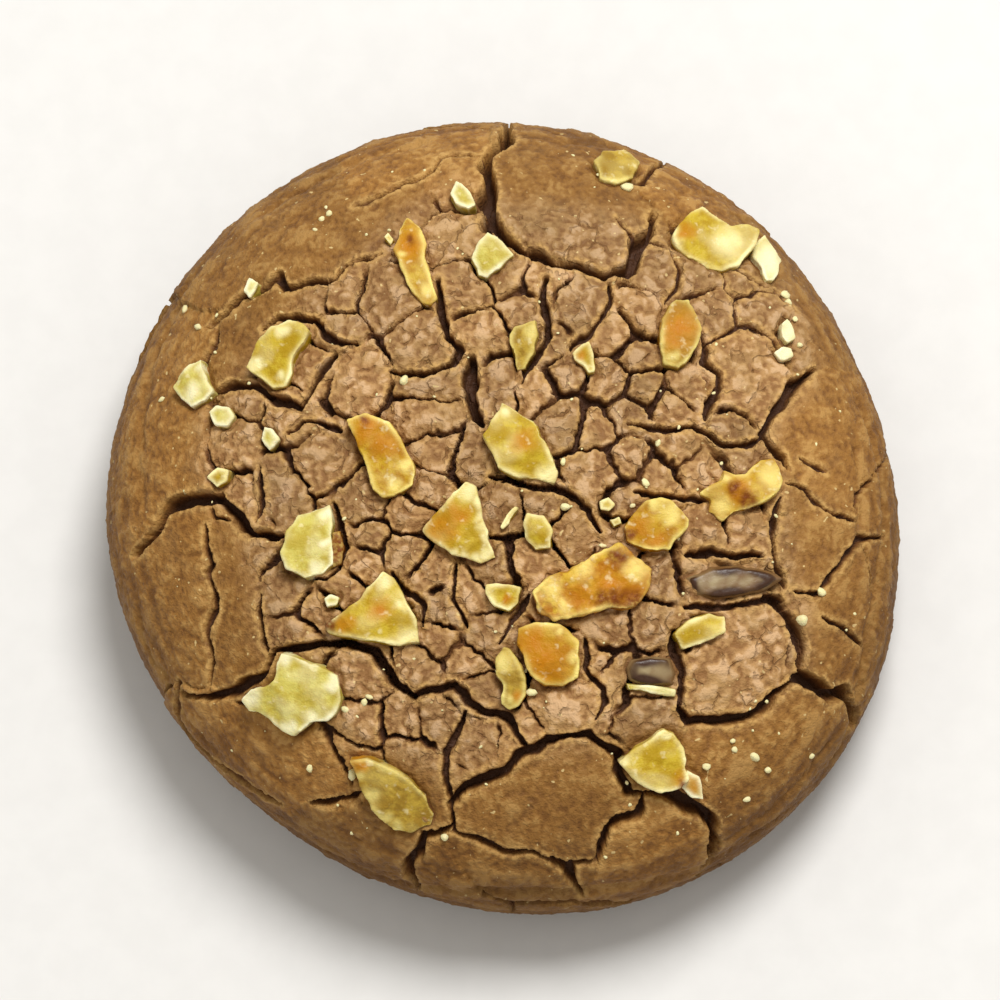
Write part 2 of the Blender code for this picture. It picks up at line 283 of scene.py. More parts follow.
    def plane(self, spots: Iterable[Spot]) -> np.ndarray:
        """Places of the view as flat (x, y) coordinates on the cookie's plane."""
        seen = map(self.seen, spots)
        return np.array([(spread * math.cos(angle), spread * math.sin(angle)) for angle, spread in seen])

    def on_crust(self, spots: Iterable[Spot]) -> tuple[np.ndarray, np.ndarray]:
        """The points of the smooth cookie, and the directions out of it, that show at places of the view."""
        angle, spread = np.array([self.seen(spot) for spot in spots]).T
        return self.points(angle, spread), self.normals(angle, spread)

    def facing(self, middle: Spot, lean: float) -> np.ndarray:
        """The direction that a piece at this place faces: out of the crust, and leaning to the view by this share.

        Args:
            middle: The place of the view where the piece's middle shows.
            lean: 0 for straight out of the crust, 1 for straight at the eye.

        Returns:
            A direction of length 1.
        """
        _, (normal,) = self.on_crust([middle])
        facing = normal * (1 - lean) + np.array(self.view_axes()[2]) * lean
        return facing / np.linalg.norm(facing)

    def under(self, outline: Sequence[Spot], stand: float, facing: np.ndarray) -> list[Spot]:
        """The places where a piece meets the crust.

        Args:
            outline: Where the piece's top shows in the view.
            stand: How far the top stands out of the crust.
            facing: The direction that the piece faces.

        Returns:
            As many places of the view.
        """
        right, up, _ = self.view_axes()
        back, down = float(facing @ right) * stand, float(facing @ up) * stand
        return [(spot[0] - back, spot[1] - down) for spot in outline]

    def view_axes(self) -> tuple[Vector, Vector, Vector]:
        """The view's directions right, up and towards the eye.

        Returns:
            Three directions of length 1.
        """
        tilt, swing = self.view_tilt, self.view_swing
        right = Vector((math.cos(swing), 0, -math.sin(swing)))
        back = right.cross(Vector((0, math.cos(tilt), math.sin(tilt)))).normalized()
        return right, back.cross(right), back


@dataclass(frozen=True)
class Crack:
    """A main crack: its half width and depth, and the (right, up) places that it passes."""

    half_width: float
    depth: float
    route: tuple[Spot, ...]


MAIN_CRACKS = (
    Crack(0.7, 2.4, ((0.4, 31), (0.1, 29), (-1, 28.4), (-1.5, 27.6), (-1.3, 26.4), (-1.6, 25), (-1.2, 23.8),
        (-1.1, 22.6), (0.3, 21.2))),
    Crack(0.44, 1.7, ((-1.1, 22.6), (0.3, 21.2), (1.3, 20.4), (2.7, 20.1), (3.6, 19.4), (5.6, 19.2), (7.4, 18.4),
        (8.3, 18.6))),
    Crack(0.3, 1.0, ((-1.6, 28), (-3.2, 28.3), (-4.8, 28.1), (-5.6, 27), (-6.6, 26.4), (-8, 26.2),
        (-9.2, 25.4), (-10.4, 24.8), (-11.8, 24.3))),
    Crack(0.3, 0.9, ((9.4, 26), (10.6, 25.7), (11.4, 26.6), (12.8, 27.7))),
    Crack(0.55, 1.9, ((8.3, 18.6), (9.7, 19), (10.4, 20.9), (11.2, 21.8), (11.5, 23.3))),
    Crack(0.52, 1.8, ((-28.8, -2.4), (-27, -0.6), (-25.9, 1.4), (-23.8, 2), (-21.9, 2), (-20.9, 0.8),
        (-19.6, -0.8), (-17.2, -1.1))),
    Crack(0.44, 1.4, ((-24.9, -13.2), (-22.3, -13.5), (-20.8, -12.9), (-19.4, -12.2), (-18.3, -11.5), (-17.8, -10))),
    Crack(0.55, 1.9, ((-17.8, -9.8), (-14, -9.4), (-12.3, -9.3), (-10.1, -9.9), (-8.9, -12), (-7.1, -13.5))),
    Crack(0.44, 1.6, ((-4.2, -21.8), (-3.3, -20.6), (-2, -19.9), (-0.3, -19.3), (0.8, -18), (2.2, -17.6),
        (3.2, -16.8), (4.8, -16.6))),
    Crack(0.44, 1.6, ((4.8, -16.6), (6.3, -16.5), (7.2, -17.6), (8.6, -18.2), (8.6, -19.6), (9.5, -21.2),
        (10.6, -21.4))),
    Crack(0.59, 2.0, ((10.6, -21.4), (12.6, -21.5), (14, -22.5), (15.3, -23.2), (16.2, -24.2), (16, -25.8),
        (15.6, -27.2))),
    Crack(0.41, 1.4, ((10.6, -21.6), (10.1, -22.8), (8.7, -23.4), (7.8, -24), (7.1, -25.4), (7, -26.6))),
    Crack(0.3, 1.0, ((-4.2, -21.8), (-4, -23.9), (-2.2, -24.6), (0, -25.5), (2.1, -25.8), (4.5, -26.7),
        (7, -26.4))),
    Crack(0.44, 1.5, ((-4.2, -23.4), (-5.2, -24.1), (-6.4, -24.3), (-6.6, -25.4), (-7.4, -26.4), (-7.2, -27.6),
        (-6.6, -28.8))),
    Crack(0.41, 1.3, ((3.6, -26.1), (4.8, -27), (5, -28), (5.9, -29.2))),
    Crack(0.44, 1.5, ((13.2, -14.8), (14, -15.8), (16.9, -15.8), (18.5, -15.7), (20, -14.7), (20.7, -13.8),
        (22, -12.9))),
    Crack(0.63, 2.1, ((22, -12.9), (22.8, -12.5), (24.3, -13.8), (25.1, -14.4), (26.1, -13.8), (26.8, -15.6),
        (27.4, -16.8))),
    Crack(0.44, 1.5, ((24.2, 11), (22.6, 10.2), (21.6, 9.1), (20.3, 7.3), (19.7, 6.2), (20.4, 5), (21.4, 4.3),
        (21.9, 3.4))),
    Crack(0.24, 0.7, ((21.6, 2.4), (23, 1.9), (23.7, 0.9), (25.3, -0.3), (27, -0.8))),
    Crack(0.21, 0.6, ((22.6, 4.1), (24.7, 3.1))),
    Crack(0.3, 1.1, ((21, 1.4), (20.7, 0.4), (20.5, -2), (20.8, -4), (21.4, -5.6))),
    Crack(0.55, 1.7, ((19.8, -6.3), (20.9, -6.9), (21.7, -8.2), (22.3, -9.2), (22.8, -10.6), (22.6, -12.4))),
    Crack(0.26, 0.8, ((22.2, -5.9), (24, -6.2), (25, -5), (26, -3.5), (27.5, -2.1), (29.4, -1.9))),
    Crack(0.24, 0.7, ((24.2, -7.9), (26, -8.8), (27.4, -10.3))),
    Crack(0.37, 1.3, ((-9.6, 20.6), (-12.3, 19.5), (-13.2, 18.6), (-15.2, 18.4), (-17, 18), (-17.5, 19.2),
        (-18.4, 18.2), (-20.4, 17.5), (-21.6, 16.4), (-23.3, 15.2))),
    Crack(0.52, 1.9, ((-2.6, 12.3), (-2.8, 10.6), (-2.9, 9.4), (-2.3, 8), (-1.9, 7.4))),
    Crack(0.33, 1.2, ((-1.2, 3.3), (0.2, 3.1), (2, 2.5), (3.6, 2.3), (4.8, 1.8), (6.2, 0.6), (7.2, -1.2))),
    Crack(0.33, 0.9, ((-23.1, -0.2), (-23.1, -1.8), (-22.5, -3.1), (-22.9, -3.8), (-22.4, -5.4), (-22.4, -6.6),
        (-23, -8.4), (-22.6, -10.6), (-22.8, -13.3))),
    Crack(0.37, 0.9, ((-25.3, -12.3), (-25.4, -14), (-24.7, -16), (-22.6, -18.2), (-20.6, -19.8), (-18.6, -21.2),
        (-17.4, -21.8))),
    Crack(0.33, 1.0, ((-15, -21.7), (-13.4, -21.7), (-11.8, -21.5), (-11.1, -20.9))),
    Crack(0.44, 1.5, ((-18.4, 10), (-17.4, 9.3), (-15.7, 8.7), (-15.1, 9.9), (-14.2, 11.5), (-13.2, 12.7))),
    Crack(0.37, 1.3, ((-22.6, 10.2), (-21, 10.6), (-19.3, 10.8), (-18.4, 10))),
    Crack(0.37, 1.3, ((-18.6, 14.8), (-17.6, 15.7), (-15.9, 15.9), (-14.6, 15.5), (-14, 14.4), (-12.5, 13.6),
        (-11.4, 13.6))),
    Crack(0.37, 1.4, ((-9, 11.6), (-8, 11.4), (-6, 11.4), (-4.2, 12), (-3.4, 13.2), (-4.5, 14.2),
        (-4.9, 15.6), (-5.2, 17), (-5.2, 18.4))),
    Crack(0.41, 1.5, ((3.2, 18.4), (2.9, 16.8), (3.3, 15), (3.2, 13.8), (2.6, 12.6), (1.6, 11.4), (1.3, 10.2))),
    Crack(0.37, 1.4, ((-7.1, -13.5), (-5.7, -12.8), (-4, -12.4), (-3, -13.8), (-1.6, -14.6), (0.1, -15),
        (0.8, -16.2), (1.6, -17.6))),
    Crack(0.33, 1.1, ((-3.1, -14.6), (-3.7, -16.4), (-4.6, -17.8), (-4.6, -19.6), (-4.2, -21.2))),
    Crack(0.33, 1.2, ((12.7, -8.9), (12.9, -10.6), (13.6, -12), (13.4, -13.4), (13.2, -14.8))),
    Crack(0.28, 1.1, ((13.8, -6.9), (16, -7), (18.6, -6.8), (20.4, -6.4), (21.3, -6.6))),
    Crack(0.37, 1.4, ((13.9, -3), (16, -2.7), (18, -3.2), (19.6, -3.2))),
    Crack(0.3, 1.1, ((9.4, 7), (11, 6.8), (12.2, 6.6), (14.4, 6.8), (15.4, 6.2), (16.6, 5.3), (18.6, 5.3),
        (19.6, 5.8))),
    Crack(0.3, 1.1, ((9.9, 1.8), (11.2, 1.7), (12.8, 1.5), (14.4, 1.4), (15.4, 1.2))),
    Crack(0.33, 1.2, ((15.2, 14.2), (15.5, 12.8), (15.3, 11.8), (16.4, 10.8), (16.5, 9.8), (15.6, 8.6), (15.2, 7.6))),
    Crack(0.3, 1.1, ((7.9, 17.9), (8.1, 16.6), (7.3, 15.2), (6.4, 14), (5, 13))),
    Crack(0.3, 1.0, ((-16.6, 6.8), (-15.6, 7.7), (-14.4, 7.6), (-12.8, 7))),
    Crack(0.3, 1.0, ((-13.2, 1.6), (-12.9, 0), (-12.4, -2), (-12.8, -3.6), (-13.8, -4.2), (-15, -4.4))),
    Crack(0.26, 0.9, ((-19, 4.4), (-18.8, 2.6), (-18.6, 1.2), (-19.2, 0))),
    Crack(0.3, 1.1, ((-18.9, -5.6), (-19, -7), (-18.7, -8.6), (-18.2, -9.8))),
    Crack(0.26, 1.0, ((-4, -3.2), (-3.9, -4.8), (-4, -6), (-3.4, -7.2), (-3, -8.2))),
    Crack(0.26, 1.0, ((-8.7, -3.9), (-8, -5.2), (-6.8, -5.9), (-6.3, -6.4), (-6.4, -8))),
    Crack(0.26, 0.9, ((1.7, -5.8), (1.3, -6.8), (0.3, -7.6), (-0.4, -9.4))),
    Crack(0.26, 0.9, ((5.9, -9.2), (6.2, -10.4), (6, -11.4), (6.6, -12.2), (7.5, -13.2), (7.6, -14.2), (6.8, -15.4))),
    Crack(0.18, 0.6, ((16.8, 18.8), (17, 17.2), (17.9, 16.6), (19.6, 17.2), (21.2, 16.8))),
    Crack(0.2, 0.7, ((17.9, 16.6), (17.7, 15.2), (17.9, 14.4), (17.2, 13.9), (15.6, 13.2))),
    Crack(0.2, 0.7, ((17.9, 14.4), (18.8, 14.6), (20.4, 13.8), (21.3, 12.6), (21.8, 11.4))),
    Crack(0.18, 0.6, ((12.6, 20.3), (13.4, 18.8), (13.2, 17.4), (12.4, 16.4))),
    Crack(0.18, 0.6, ((17.6, 18.8), (19.4, 18), (20.6, 17.4), (22.4, 15.6))),
    Crack(0.2, 0.6, ((8.6, 22.9), (9.8, 21.4), (11.4, 20.9), (12.6, 20.3))),
)


RIM_FOLDS = (
    Crack(0.55, 0.4, ((-18.6, -24), (-15.5, -25.3), (-13, -26.3), (-9.5, -27.7), (-6, -28.3), (-2, -28.7),
        (2, -28.9), (6, -28.8), (10, -28.4), (14, -27.7), (18, -26.4), (21, -25.4), (24, -23.4))),
    Crack(0.5, 0.36, ((26.6, 10.4), (28.2, 6.4), (29.2, 3), (29.3, -2), (28.7, -6), (27.8, -10),
        (27.1, -13.6), (26.2, -17.6), (24.4, -21.6))),
    Crack(0.4, 0.22, ((26.2, -6), (27.2, -2.6), (27.6, 1.6), (27, 5.6))),
    Crack(0.5, 0.3, ((-23.4, 20.2), (-26, 16.6), (-27.8, 12.2), (-28.2, 7.2), (-28.2, 2.6), (-28, 0.4))),
    Crack(0.4, 0.24, ((-28.6, -6.2), (-28, -9), (-27.2, -10.7), (-25.8, -12.2))),
    Crack(0.45, 0.26, ((-19.6, 23.4), (-15, 26.4), (-10.4, 28.4), (-5.4, 29.4))),
    Crack(0.45, 0.26, ((3, 28.9), (8, 29), (13.4, 27.2), (18, 24.4), (21.8, 20.8))),
    Crack(0.35, 0.2, ((12.6, 24.6), (16.4, 24.7), (20.2, 22.6))),
    Crack(0.35, 0.2, ((-21.6, -18.4), (-24.6, -15), (-26.6, -11.6))),
    Crack(0.35, 0.18, ((16.6, -25.6), (20.4, -23), (23.6, -19.6), (25.4, -16.8))),
)


@dataclass(frozen=True)
class Plate:
    """A plate of the crust, told by (right, up) places that lie well inside it."""

    places: tuple[Spot, ...]


RIM_PLATES = (
    Plate(((-21.5, 18.9), (-19, 20), (-16.5, 21), (-14, 21.5), (-12, 22.5), (-9.5, 23), (-7.4, 24.6), (-15, 25),
        (-18.5, 23))),
    Plate(((-5, 27.4), (-9.5, 27.2), (-4.4, 25.9))),
    Plate(((-21.2, 13.2), (-20.8, 15), (-21.5, 11.8), (-18.6, 16.9))),
    Plate(((-26, 6), (-25, 8.2), (-25, 4), (-28, 8), (-27, 13), (-24.2, 14.2), (-28.4, 3))),
    Plate(((-25, -3), (-25.2, -7), (-25, 0.2), (-24.6, -10.5), (-28.4, -4), (-28, -9))),
    Plate(((-21, -1.5), (-20.8, -6.5), (-20.5, -10), (-21.3, -4), (-20.4, -11.2))),
    Plate(((-22.4, -15.3), (-19.4, -16.6), (-16.4, -18.4), (-21, -18.4), (-13.6, -19.6), (-23.8, -14.6),
        (-17.6, -20.2))),
    Plate(((-14, -23.8), (-10.4, -24.8), (-18, -24), (-8.4, -26))),
    Plate(((-2.5, -22), (0, -20.9), (2.5, -19), (5, -18.6), (2.5, -22.5), (5.5, -21.5), (7, -20), (0, -23.7),
        (4, -24.6), (6.3, -23))),
    Plate(((10, -24.6), (12.5, -23.5), (13.6, -25), (11, -26.6))),
    Plate(((20, -18), (18.2, -18.2), (22, -15.5), (24.5, -16.2), (17.8, -21), (21.5, -20.4), (18.6, -24.6),
        (25.5, -18.4), (16.4, -17.6))),
    Plate(((24.5, -9.4), (24, -7.6), (26.4, -11), (23.8, -11))),
    Plate(((22.6, -0.8), (22.6, -3.4), (24.4, -2.3), (23.2, -5))),
    Plate(((22.4, 6), (24, 8), (25.8, 5.5), (23.6, 3.6), (26, 9))),
    Plate(((22.9, 12.2), (24.6, 13.2), (23.2, 17), (25.4, 15), (21.2, 20.4), (22.6, 19))),
    Plate(((6.5, 20.8), (4.2, 21.6), (8.7, 20.4), (5.6, 24), (9, 23.4), (2, 25), (7.6, 26.4), (1.4, 23.2), (3, 27.6))),
    Plate(((13, 25), (12.8, 27), (16, 25.4), (19, 24))),
)
MIDDLE_PLATES = (
    (-12.6, 17), (-15, 17.2), (-12.9, 14.9), (-9.6, 16.8), (-15.1, 12), (-11.4, 11.3), (-16.9, 8.3), (-20, 9.5),
    (-20.8, 6.6), (-14.2, 5), (-17.8, 2.6), (-20.2, 1.5), (-11.2, 1.3), (-10.7, -1.1), (-11.1, -3.1), (-7.6, 0.4),
    (-7.9, -2.3), (-6.5, 13.6), (-4.4, 22), (-3.2, 17.5), (0.4, 18.8), (2.6, 18.1), (-1.9, 14.2), (1.7, 16.1),
    (5.5, 16.3), (8.5, 14.2), (4.7, 11.1), (2, 10.3), (-0.4, 10.5), (-5.8, 10.5), (-6, 8.2), (4.6, 7.5), (6.9, 6.8),
    (3.2, 13.1), (-2.6, 4.4), (-6, 2.6), (-5.2, 5), (-5.8, -4), (-2.9, -5.6), (-1.1, -4.1), (-0.4, 1.2), (2.7, 1.5),
    (2.3, -3.6), (5.3, -1.3), (7, 3.3), (-4.5, -6.9), (-1.7, -8.7), (-5, -9), (-6.7, -11.3), (-3.1, -10.9),
    (-2.3, -13.1), (-5.2, -15.3), (-8.2, -15.5), (-1.8, -16.8), (5, -14.4), (0.5, -17.2), (7.8, -8.9), (6.9, -10.7),
    (8.5, -11.9), (-10.4, -12), (-10.6, -15.8), (11.4, -8), (11.2, -15), (11.9, -4.9), (18.5, -1.3), (15.4, -1.4),
    (21.9, 1.1), (15, 3.3), (17.5, 6.3), (13, 5.4), (12.8, 8.4), (9.7, 4.4), (11.7, 3.2), (16.4, 15.8), (19.6, 15.8),
    (14.6, 18.8), (11.9, 18.8), (10.4, 15.3), (13.9, 9.8), (10.6, 10), (10.3, 12.4), (8.2, 10.4), (9.2, 7.9),
    (18.3, 18.2), (-16.8, -6), (-14.7, -6.9), (-12.6, -4.9), (-16.2, -8.4), (18.6, 4.5), (9.3, 0.9), (8.7, -1.5),
    (14.7, -4.6), (-11.2, -18.6), (-7.6, -17.8), (10.9, -12.6),
)
WIDE_PLATES = (
    Plate(((17.5, -11.2), (15.6, -12.6), (19.6, -10.8), (16.4, -14.2), (18.6, -13.2), (18.4, -8.6))),
    Plate(((18.7, 11), (17.6, 9.8), (20.2, 10.2), (17.2, 12), (19.8, 12.2), (19.4, 8.6))),
)


class CrustDetail(NamedTuple):
    """What the split crust has at each point.

    That is its rise, how deep in a crack it lies, how close to a plate's lip, its plate's tone, how high it
    stands in the crust's fine grain, and whether it is at the rim. All but the rise go from 0 to 1. The crack
    value also holds painted shade in the rim's creases and painted shadow round sunk pieces.
    """

    rise: np.ndarray
    crack: np.ndarray
    lip: np.ndarray
    tone: np.ndarray
    high: np.ndarray
    at_rim: np.ndarray


class PlateRelief(NamedTuple):
    """How the plates stand at each place, and the cracks between them.

    That is the cracks' depth and the plates' rise, and the crack, lip and tone values from 0 to 1.
    """

    depth: np.ndarray
    rise: np.ndarray
    crack: np.ndarray
    lip: np.ndarray
    tone: np.ndarray


class MainRelief(NamedTuple):
    """The main cracks at each place: their depth, the crack and lip values, and how far the nearest one is."""

    depth: np.ndarray
    crack: np.ndarray
    lip: np.ndarray
    away: np.ndarray


@dataclass(frozen=True)
class Pebbling:
    """Rounded lumps of one size and height all over a surface."""

    size: float
    height: float
    shift: float = 0.0

    def relief(self, points: np.ndarray) -> np.ndarray:
        """How far the lumps rise above their usual level at each point."""
        return self.height * (pebbles(points, self.size, self.shift) - PEBBLE_LEVEL)


def pair_draw(first: np.ndarray, second: np.ndarray, salt: float) -> np.ndarray:
    """A number from 0 to 1 that belongs to a pair of plates, whichever is named first."""
    wave = np.sin(np.minimum(first, second) * 127.1 + np.maximum(first, second) * 311.7 + salt) * 43758.5
    return wave - np.floor(wave)


STRENGTH_SALT, LEAN_SALTS, STAND_SALT, TONE_SALT = 1.0, (3.0, 4.0), 5.0, 6.0


CRACKLE_OUTLINE: tuple[Spot, ...] = (
    (0, 23.5), (9, 23), (11.5, 21.5), (13.5, 19.8), (18, 19.2), (21, 17.8), (23, 14.5), (23.7, 11), (21.2, 8.3),
    (20.4, 5.8), (20.8, 0), (21.4, -3.8), (22.6, -6.4), (22.8, -11.5), (19.2, -14.7), (12.8, -15.7), (9, -16.4),
    (0, -17.6), (-4, -19.4), (-12.8, -16.6), (-15, -11), (-18.4, -9), (-19.2, -4), (-19.4, -0.6), (-22.4, 2.2),
    (-23.2, 4.5), (-22.6, 8.3), (-20.5, 10.9), (-17.4, 14.6), (-14.7, 17.6), (-10.9, 19.8), (-9, 22.4), (-6.4, 24.2),
    (-3.8, 25.6), (-1.8, 25),
)


@dataclass(frozen=True)
class CrustGrain:
    """The crust's fine relief: nubbly in the middle, finer and wrinkled along the edge at the rim."""

    middle: tuple[Pebbling, ...] = (Pebbling(1.3, 0.36), Pebbling(0.62, 0.20, 5.0))
    rim: tuple[Pebbling, ...] = (Pebbling(2.3, 0.17), Pebbling(0.8, 0.13, 5.0))
    finest_size: float = 0.32
    finest_heights: Spot = (0.05, 0.06)
    ring_scale: tuple[float, float, float] = (1.1, 1.1, 6.5)
    ring_height: float = 0.12
    ring_radii: Spot = (26.0, 29.5)
    span: float = 0.26
    fade_heights: Spot = (0.0, 2.0)

    def relief(self, points: np.ndarray, radius: np.ndarray, angle: np.ndarray, at_rim: np.ndarray) -> np.ndarray:
        """How far the grain rises.

        Args:
            points: Points on the smooth cookie.
            radius: How far from the middle each lies, before the outline's unevenness.
            angle: Each one's angle.
            at_rim: Which size of plates each lies among.

        Returns:
            The rise at each point.
        """
        small = unevenness(points, self.finest_size, 9.0)
        middle = sum(lumps.relief(points) for lumps in self.middle) + self.finest_heights[0] * small
        rim = sum(lumps.relief(points) for lumps in self.rim) + self.finest_heights[1] * small
        rings = np.column_stack((radius, points[:, 2], angle)) * self.ring_scale
        rim += self.ring_height * unevenness(rings, 1.0, 4.0) * smooth(*self.ring_radii, radius)
        return middle + (rim - middle) * at_rim


@dataclass
class CrackNetwork:
    """How the crust splits into plates, small in the middle and large at the rim.

    A crack's strength goes from 0 to 1 and gives its width and depth. Strengths are drawn from a range, and
    what falls below 0 there stays shut. A wall lies between two shares of its crack's half width, and a lip
    lies so far beyond it and is so wide. Jags push the cracks sideways, each by an amount and with a length.
    """

    form: CookieForm
    crackle_outline: tuple[Spot, ...] = CRACKLE_OUTLINE
    crackle_edge: Spot = (-1.6, 2.2)
    large_plate: float = 10.0
    plate_variety: Spot = (0.7, 1.1)
    half_widths: Spot = (0.12, 0.31)
    depths: Spot = (0.30, 1.25)
    middle_strengths: Spot = (0.15, 1.1)
    rim_strengths: Spot = (-0.9, 0.6)
    faintest: float = 0.05
    faint_depth: float = 6.0
    faint_shade: float = 0.45
    wall: Spot = (0.45, 1.0)
    lip: Spot = (0.1, 0.2)
    main_lip: Spot = (0.12, 0.22)
    main_taper: Spot = (0.5, 3.0)
    jag: tuple[Spot, ...] = ((0.42, 1.9), (0.20, 0.6), (0.08, 0.25))
    main_jag: float = 0.6
    socket_jag: float = 0.3
    opening_length: float = 2.2
    opening_change: float = 0.75
    openings: Spot = (0.4, 1.6)
    junction_reach: float = 0.7
    junction_gape: Spot = (0.75, 0.8)
    swell: float = 0.30
    swell_reach: float = 0.8
    step: float = 0.40
    slope: float = 0.09
    rim_calm: float = 0.7
    calm_reach: Spot = (0.5, 1.3)
    route_margin: float = 6.0
    fold_ends: Spot = (0.0, 0.12)
    fold_painted_shade: float = 0.22
    socket_margin: float = 3.0
    socket_width: float = 0.34
    socket_depth: float = 0.3
    socket_painted_shadow: float = 0.4
    grain: CrustGrain = CrustGrain()
    fade_heights: Spot = (3.0, 8.0)
    darts: int = 9000
    least_share: float = 0.0001
    near_plates: int = 8
    rows_at_once: int = 8000
    sockets: list[np.ndarray] = field(default_factory=list)

    def __post_init__(self) -> None:
        """Lays out the plates: those that the photograph shows, and random ones where it shows none."""
        shown = [*RIM_PLATES, *WIDE_PLATES, *(Plate((spot,)) for spot in MIDDLE_PLATES)]
        seeds = [(place, index) for index, plate in enumerate(shown) for place in self.form.plane(plate.places)]
        draw = random.Random(SEED)
        index = len(shown)
        for _ in range(self.darts):
            spread = self.form.edge_spread * math.sqrt(draw.uniform(self.least_share, 1))
            angle = draw.uniform(0, 2 * math.pi)
            radius, _ = self.form.radius_height(np.array(spread))
            gap = self.large_plate * draw.uniform(*self.plate_variety) * spread / radius
            place = np.array((spread * math.cos(angle), spread * math.sin(angle)))
            if all(math.dist(place, other) > gap for other, _ in seeds):
                seeds.append((place, index))
                index += 1
        self.seeds = np.array([place for place, _ in seeds])
        self.owner = np.array([owner for _, owner in seeds])
        self.centres = np.array([self.seeds[self.owner == plate].mean(axis=0) for plate in range(index)])

    def at_rim(self, places: np.ndarray, stretch: np.ndarray) -> np.ndarray:
        """0 among the small plates, 1 among the large ones at the rim."""
        beyond = beyond_outline(places, self.form.plane(self.crackle_outline)) / stretch
        return smooth(*self.crackle_edge, beyond)

    def between_plates(
        self, places: np.ndarray, stretch: np.ndarray, at_rim: np.ndarray, opening: np.ndarray
    ) -> PlateRelief:
        """How the plates stand, and the cracks between them.

        Args:
            places: (x, y) rows on the cookie's plane.
            stretch: How much longer than the crust the plane is there.
            at_rim: Which size of plates each place lies among.
            opening: How far the cracks gape at each place, as a share of their usual width.

        Returns:
            The plates' relief at each place.
        """
        gap = np.linalg.norm(places[:, None] - self.seeds[None], axis=2)
        order = np.argpartition(gap, self.near_plates, axis=1)[:, : self.near_plates]
        order = np.take_along_axis(order, np.argsort(np.take_along_axis(gap, order, 1), axis=1), 1)
        near = np.take_along_axis(gap, order, axis=1)
        first, others = order[:, :1], order[:, 1:]
        own = self.owner[first[:, 0]]
        apart = np.linalg.norm(self.seeds[first] - self.seeds[others], axis=2)
        border = (near[:, 1:] ** 2 - near[:, :1] ** 2) / (2 * apart * stretch[:, None])
        strength = self.strength(own, self.owner[others], at_rim)
        ranked = np.partition(np.where(strength > self.faintest, border, FAR), 1, axis=1)
        usual, more = self.junction_gape
        gaping = opening * (usual + more * np.exp(-ranked[:, 1] / self.junction_reach))
        width = (self.half_widths[0] + (self.half_widths[1] - self.half_widths[0]) * strength) * gaping[:, None]
        inside = (1 - smooth(*self.wall, border / width)) * np.minimum(1, strength * self.faint_depth)
        depth = (self.depths[0] + (self.depths[1] - self.depths[0]) * strength) * inside
        lip = strength * bell(border - width - self.lip[0], self.lip[1])
        lean = np.stack([pair_draw(own, own, salt) - 0.5 for salt in LEAN_SALTS], axis=1) * 2 * self.slope
        tilt = ((places - self.centres[own]) * lean).sum(axis=1) / stretch
        stand = (pair_draw(own, own, STAND_SALT) - 0.5) * self.step
        dome = self.swell * (1 - np.exp(-ranked[:, 0] / self.swell_reach))
        rise = (stand + tilt + dome) * (1 - self.rim_calm * at_rim)
        crack = (inside * np.minimum(1, self.faint_shade + strength)).max(axis=1)
        return PlateRelief(depth.max(axis=1), rise, crack, lip.max(axis=1), pair_draw(own, own, TONE_SALT))

    def strength(self, own: np.ndarray, others: np.ndarray, at_rim: np.ndarray) -> np.ndarray:
        """How strong the cracks are between plates.

        Args:
            own: The plate that each place lies in.
            others: The plates near each place, one row for each.
            at_rim: Which size of plates each place lies among.

        Returns:
            A strength from 0 to 1 for each near plate, and 0 where that is the place's own plate.
        """
        low = self.middle_strengths[0] + (self.rim_strengths[0] - self.middle_strengths[0]) * at_rim
        high = self.middle_strengths[1] + (self.rim_strengths[1] - self.middle_strengths[1]) * at_rim
        draw = pair_draw(own[:, None], others, STRENGTH_SALT)
        return np.clip(low[:, None] + (high - low)[:, None] * draw, 0, 1) * (others != own[:, None])

    def main_cracks(self, places: np.ndarray, stretch: np.ndarray, opening: np.ndarray) -> MainRelief:
        """The cracks that the photograph shows one by one.

        Args:
            places: (x, y) rows on the cookie's plane.
            stretch: How stretched the plane is there.
            opening: How far they gape at each place, as a share of the usual.

        Returns:
            The main cracks' relief at each place.
        """
        depth, crack, lip = (np.zeros(len(places)) for _ in range(3))
        nearest = np.full(len(places), FAR)
        start, growth = self.main_taper
        for split in MAIN_CRACKS:
            rows, away, along = self.along_route(places, stretch, split)
            width = split.half_width * np.minimum(1, start + growth * np.minimum(along, 1 - along)) * opening[rows]
            inside = 1 - smooth(*self.wall, away / width)
            depth[rows] = np.maximum(depth[rows], split.depth * inside)
            crack[rows] = np.maximum(crack[rows], inside)
            lip[rows] = np.maximum(lip[rows], bell(away - width - self.main_lip[0], self.main_lip[1]))
            nearest[rows] = np.minimum(nearest[rows], away)
        return MainRelief(depth, crack, lip, nearest)

    def folds(self, places: np.ndarray, stretch: np.ndarray) -> tuple[np.ndarray, np.ndarray]:
        """The soft creases in the rim.

        Args:
            places: (x, y) rows on the cookie's plane.
            stretch: How stretched the plane is there.

        Returns:
            The creases' depth, and their painted shade from 0 to 1, at each place.
        """
        depth, shade = np.zeros(len(places)), np.zeros(len(places))
        for fold in RIM_FOLDS:
            rows, away, along = self.along_route(places, stretch, fold)
            crease = bell(away, fold.half_width) * smooth(*self.fold_ends, np.minimum(along, 1 - along))
            depth[rows] = np.maximum(depth[rows], fold.depth * crease)
            shade[rows] = np.maximum(shade[rows], crease**2)
        return depth, shade

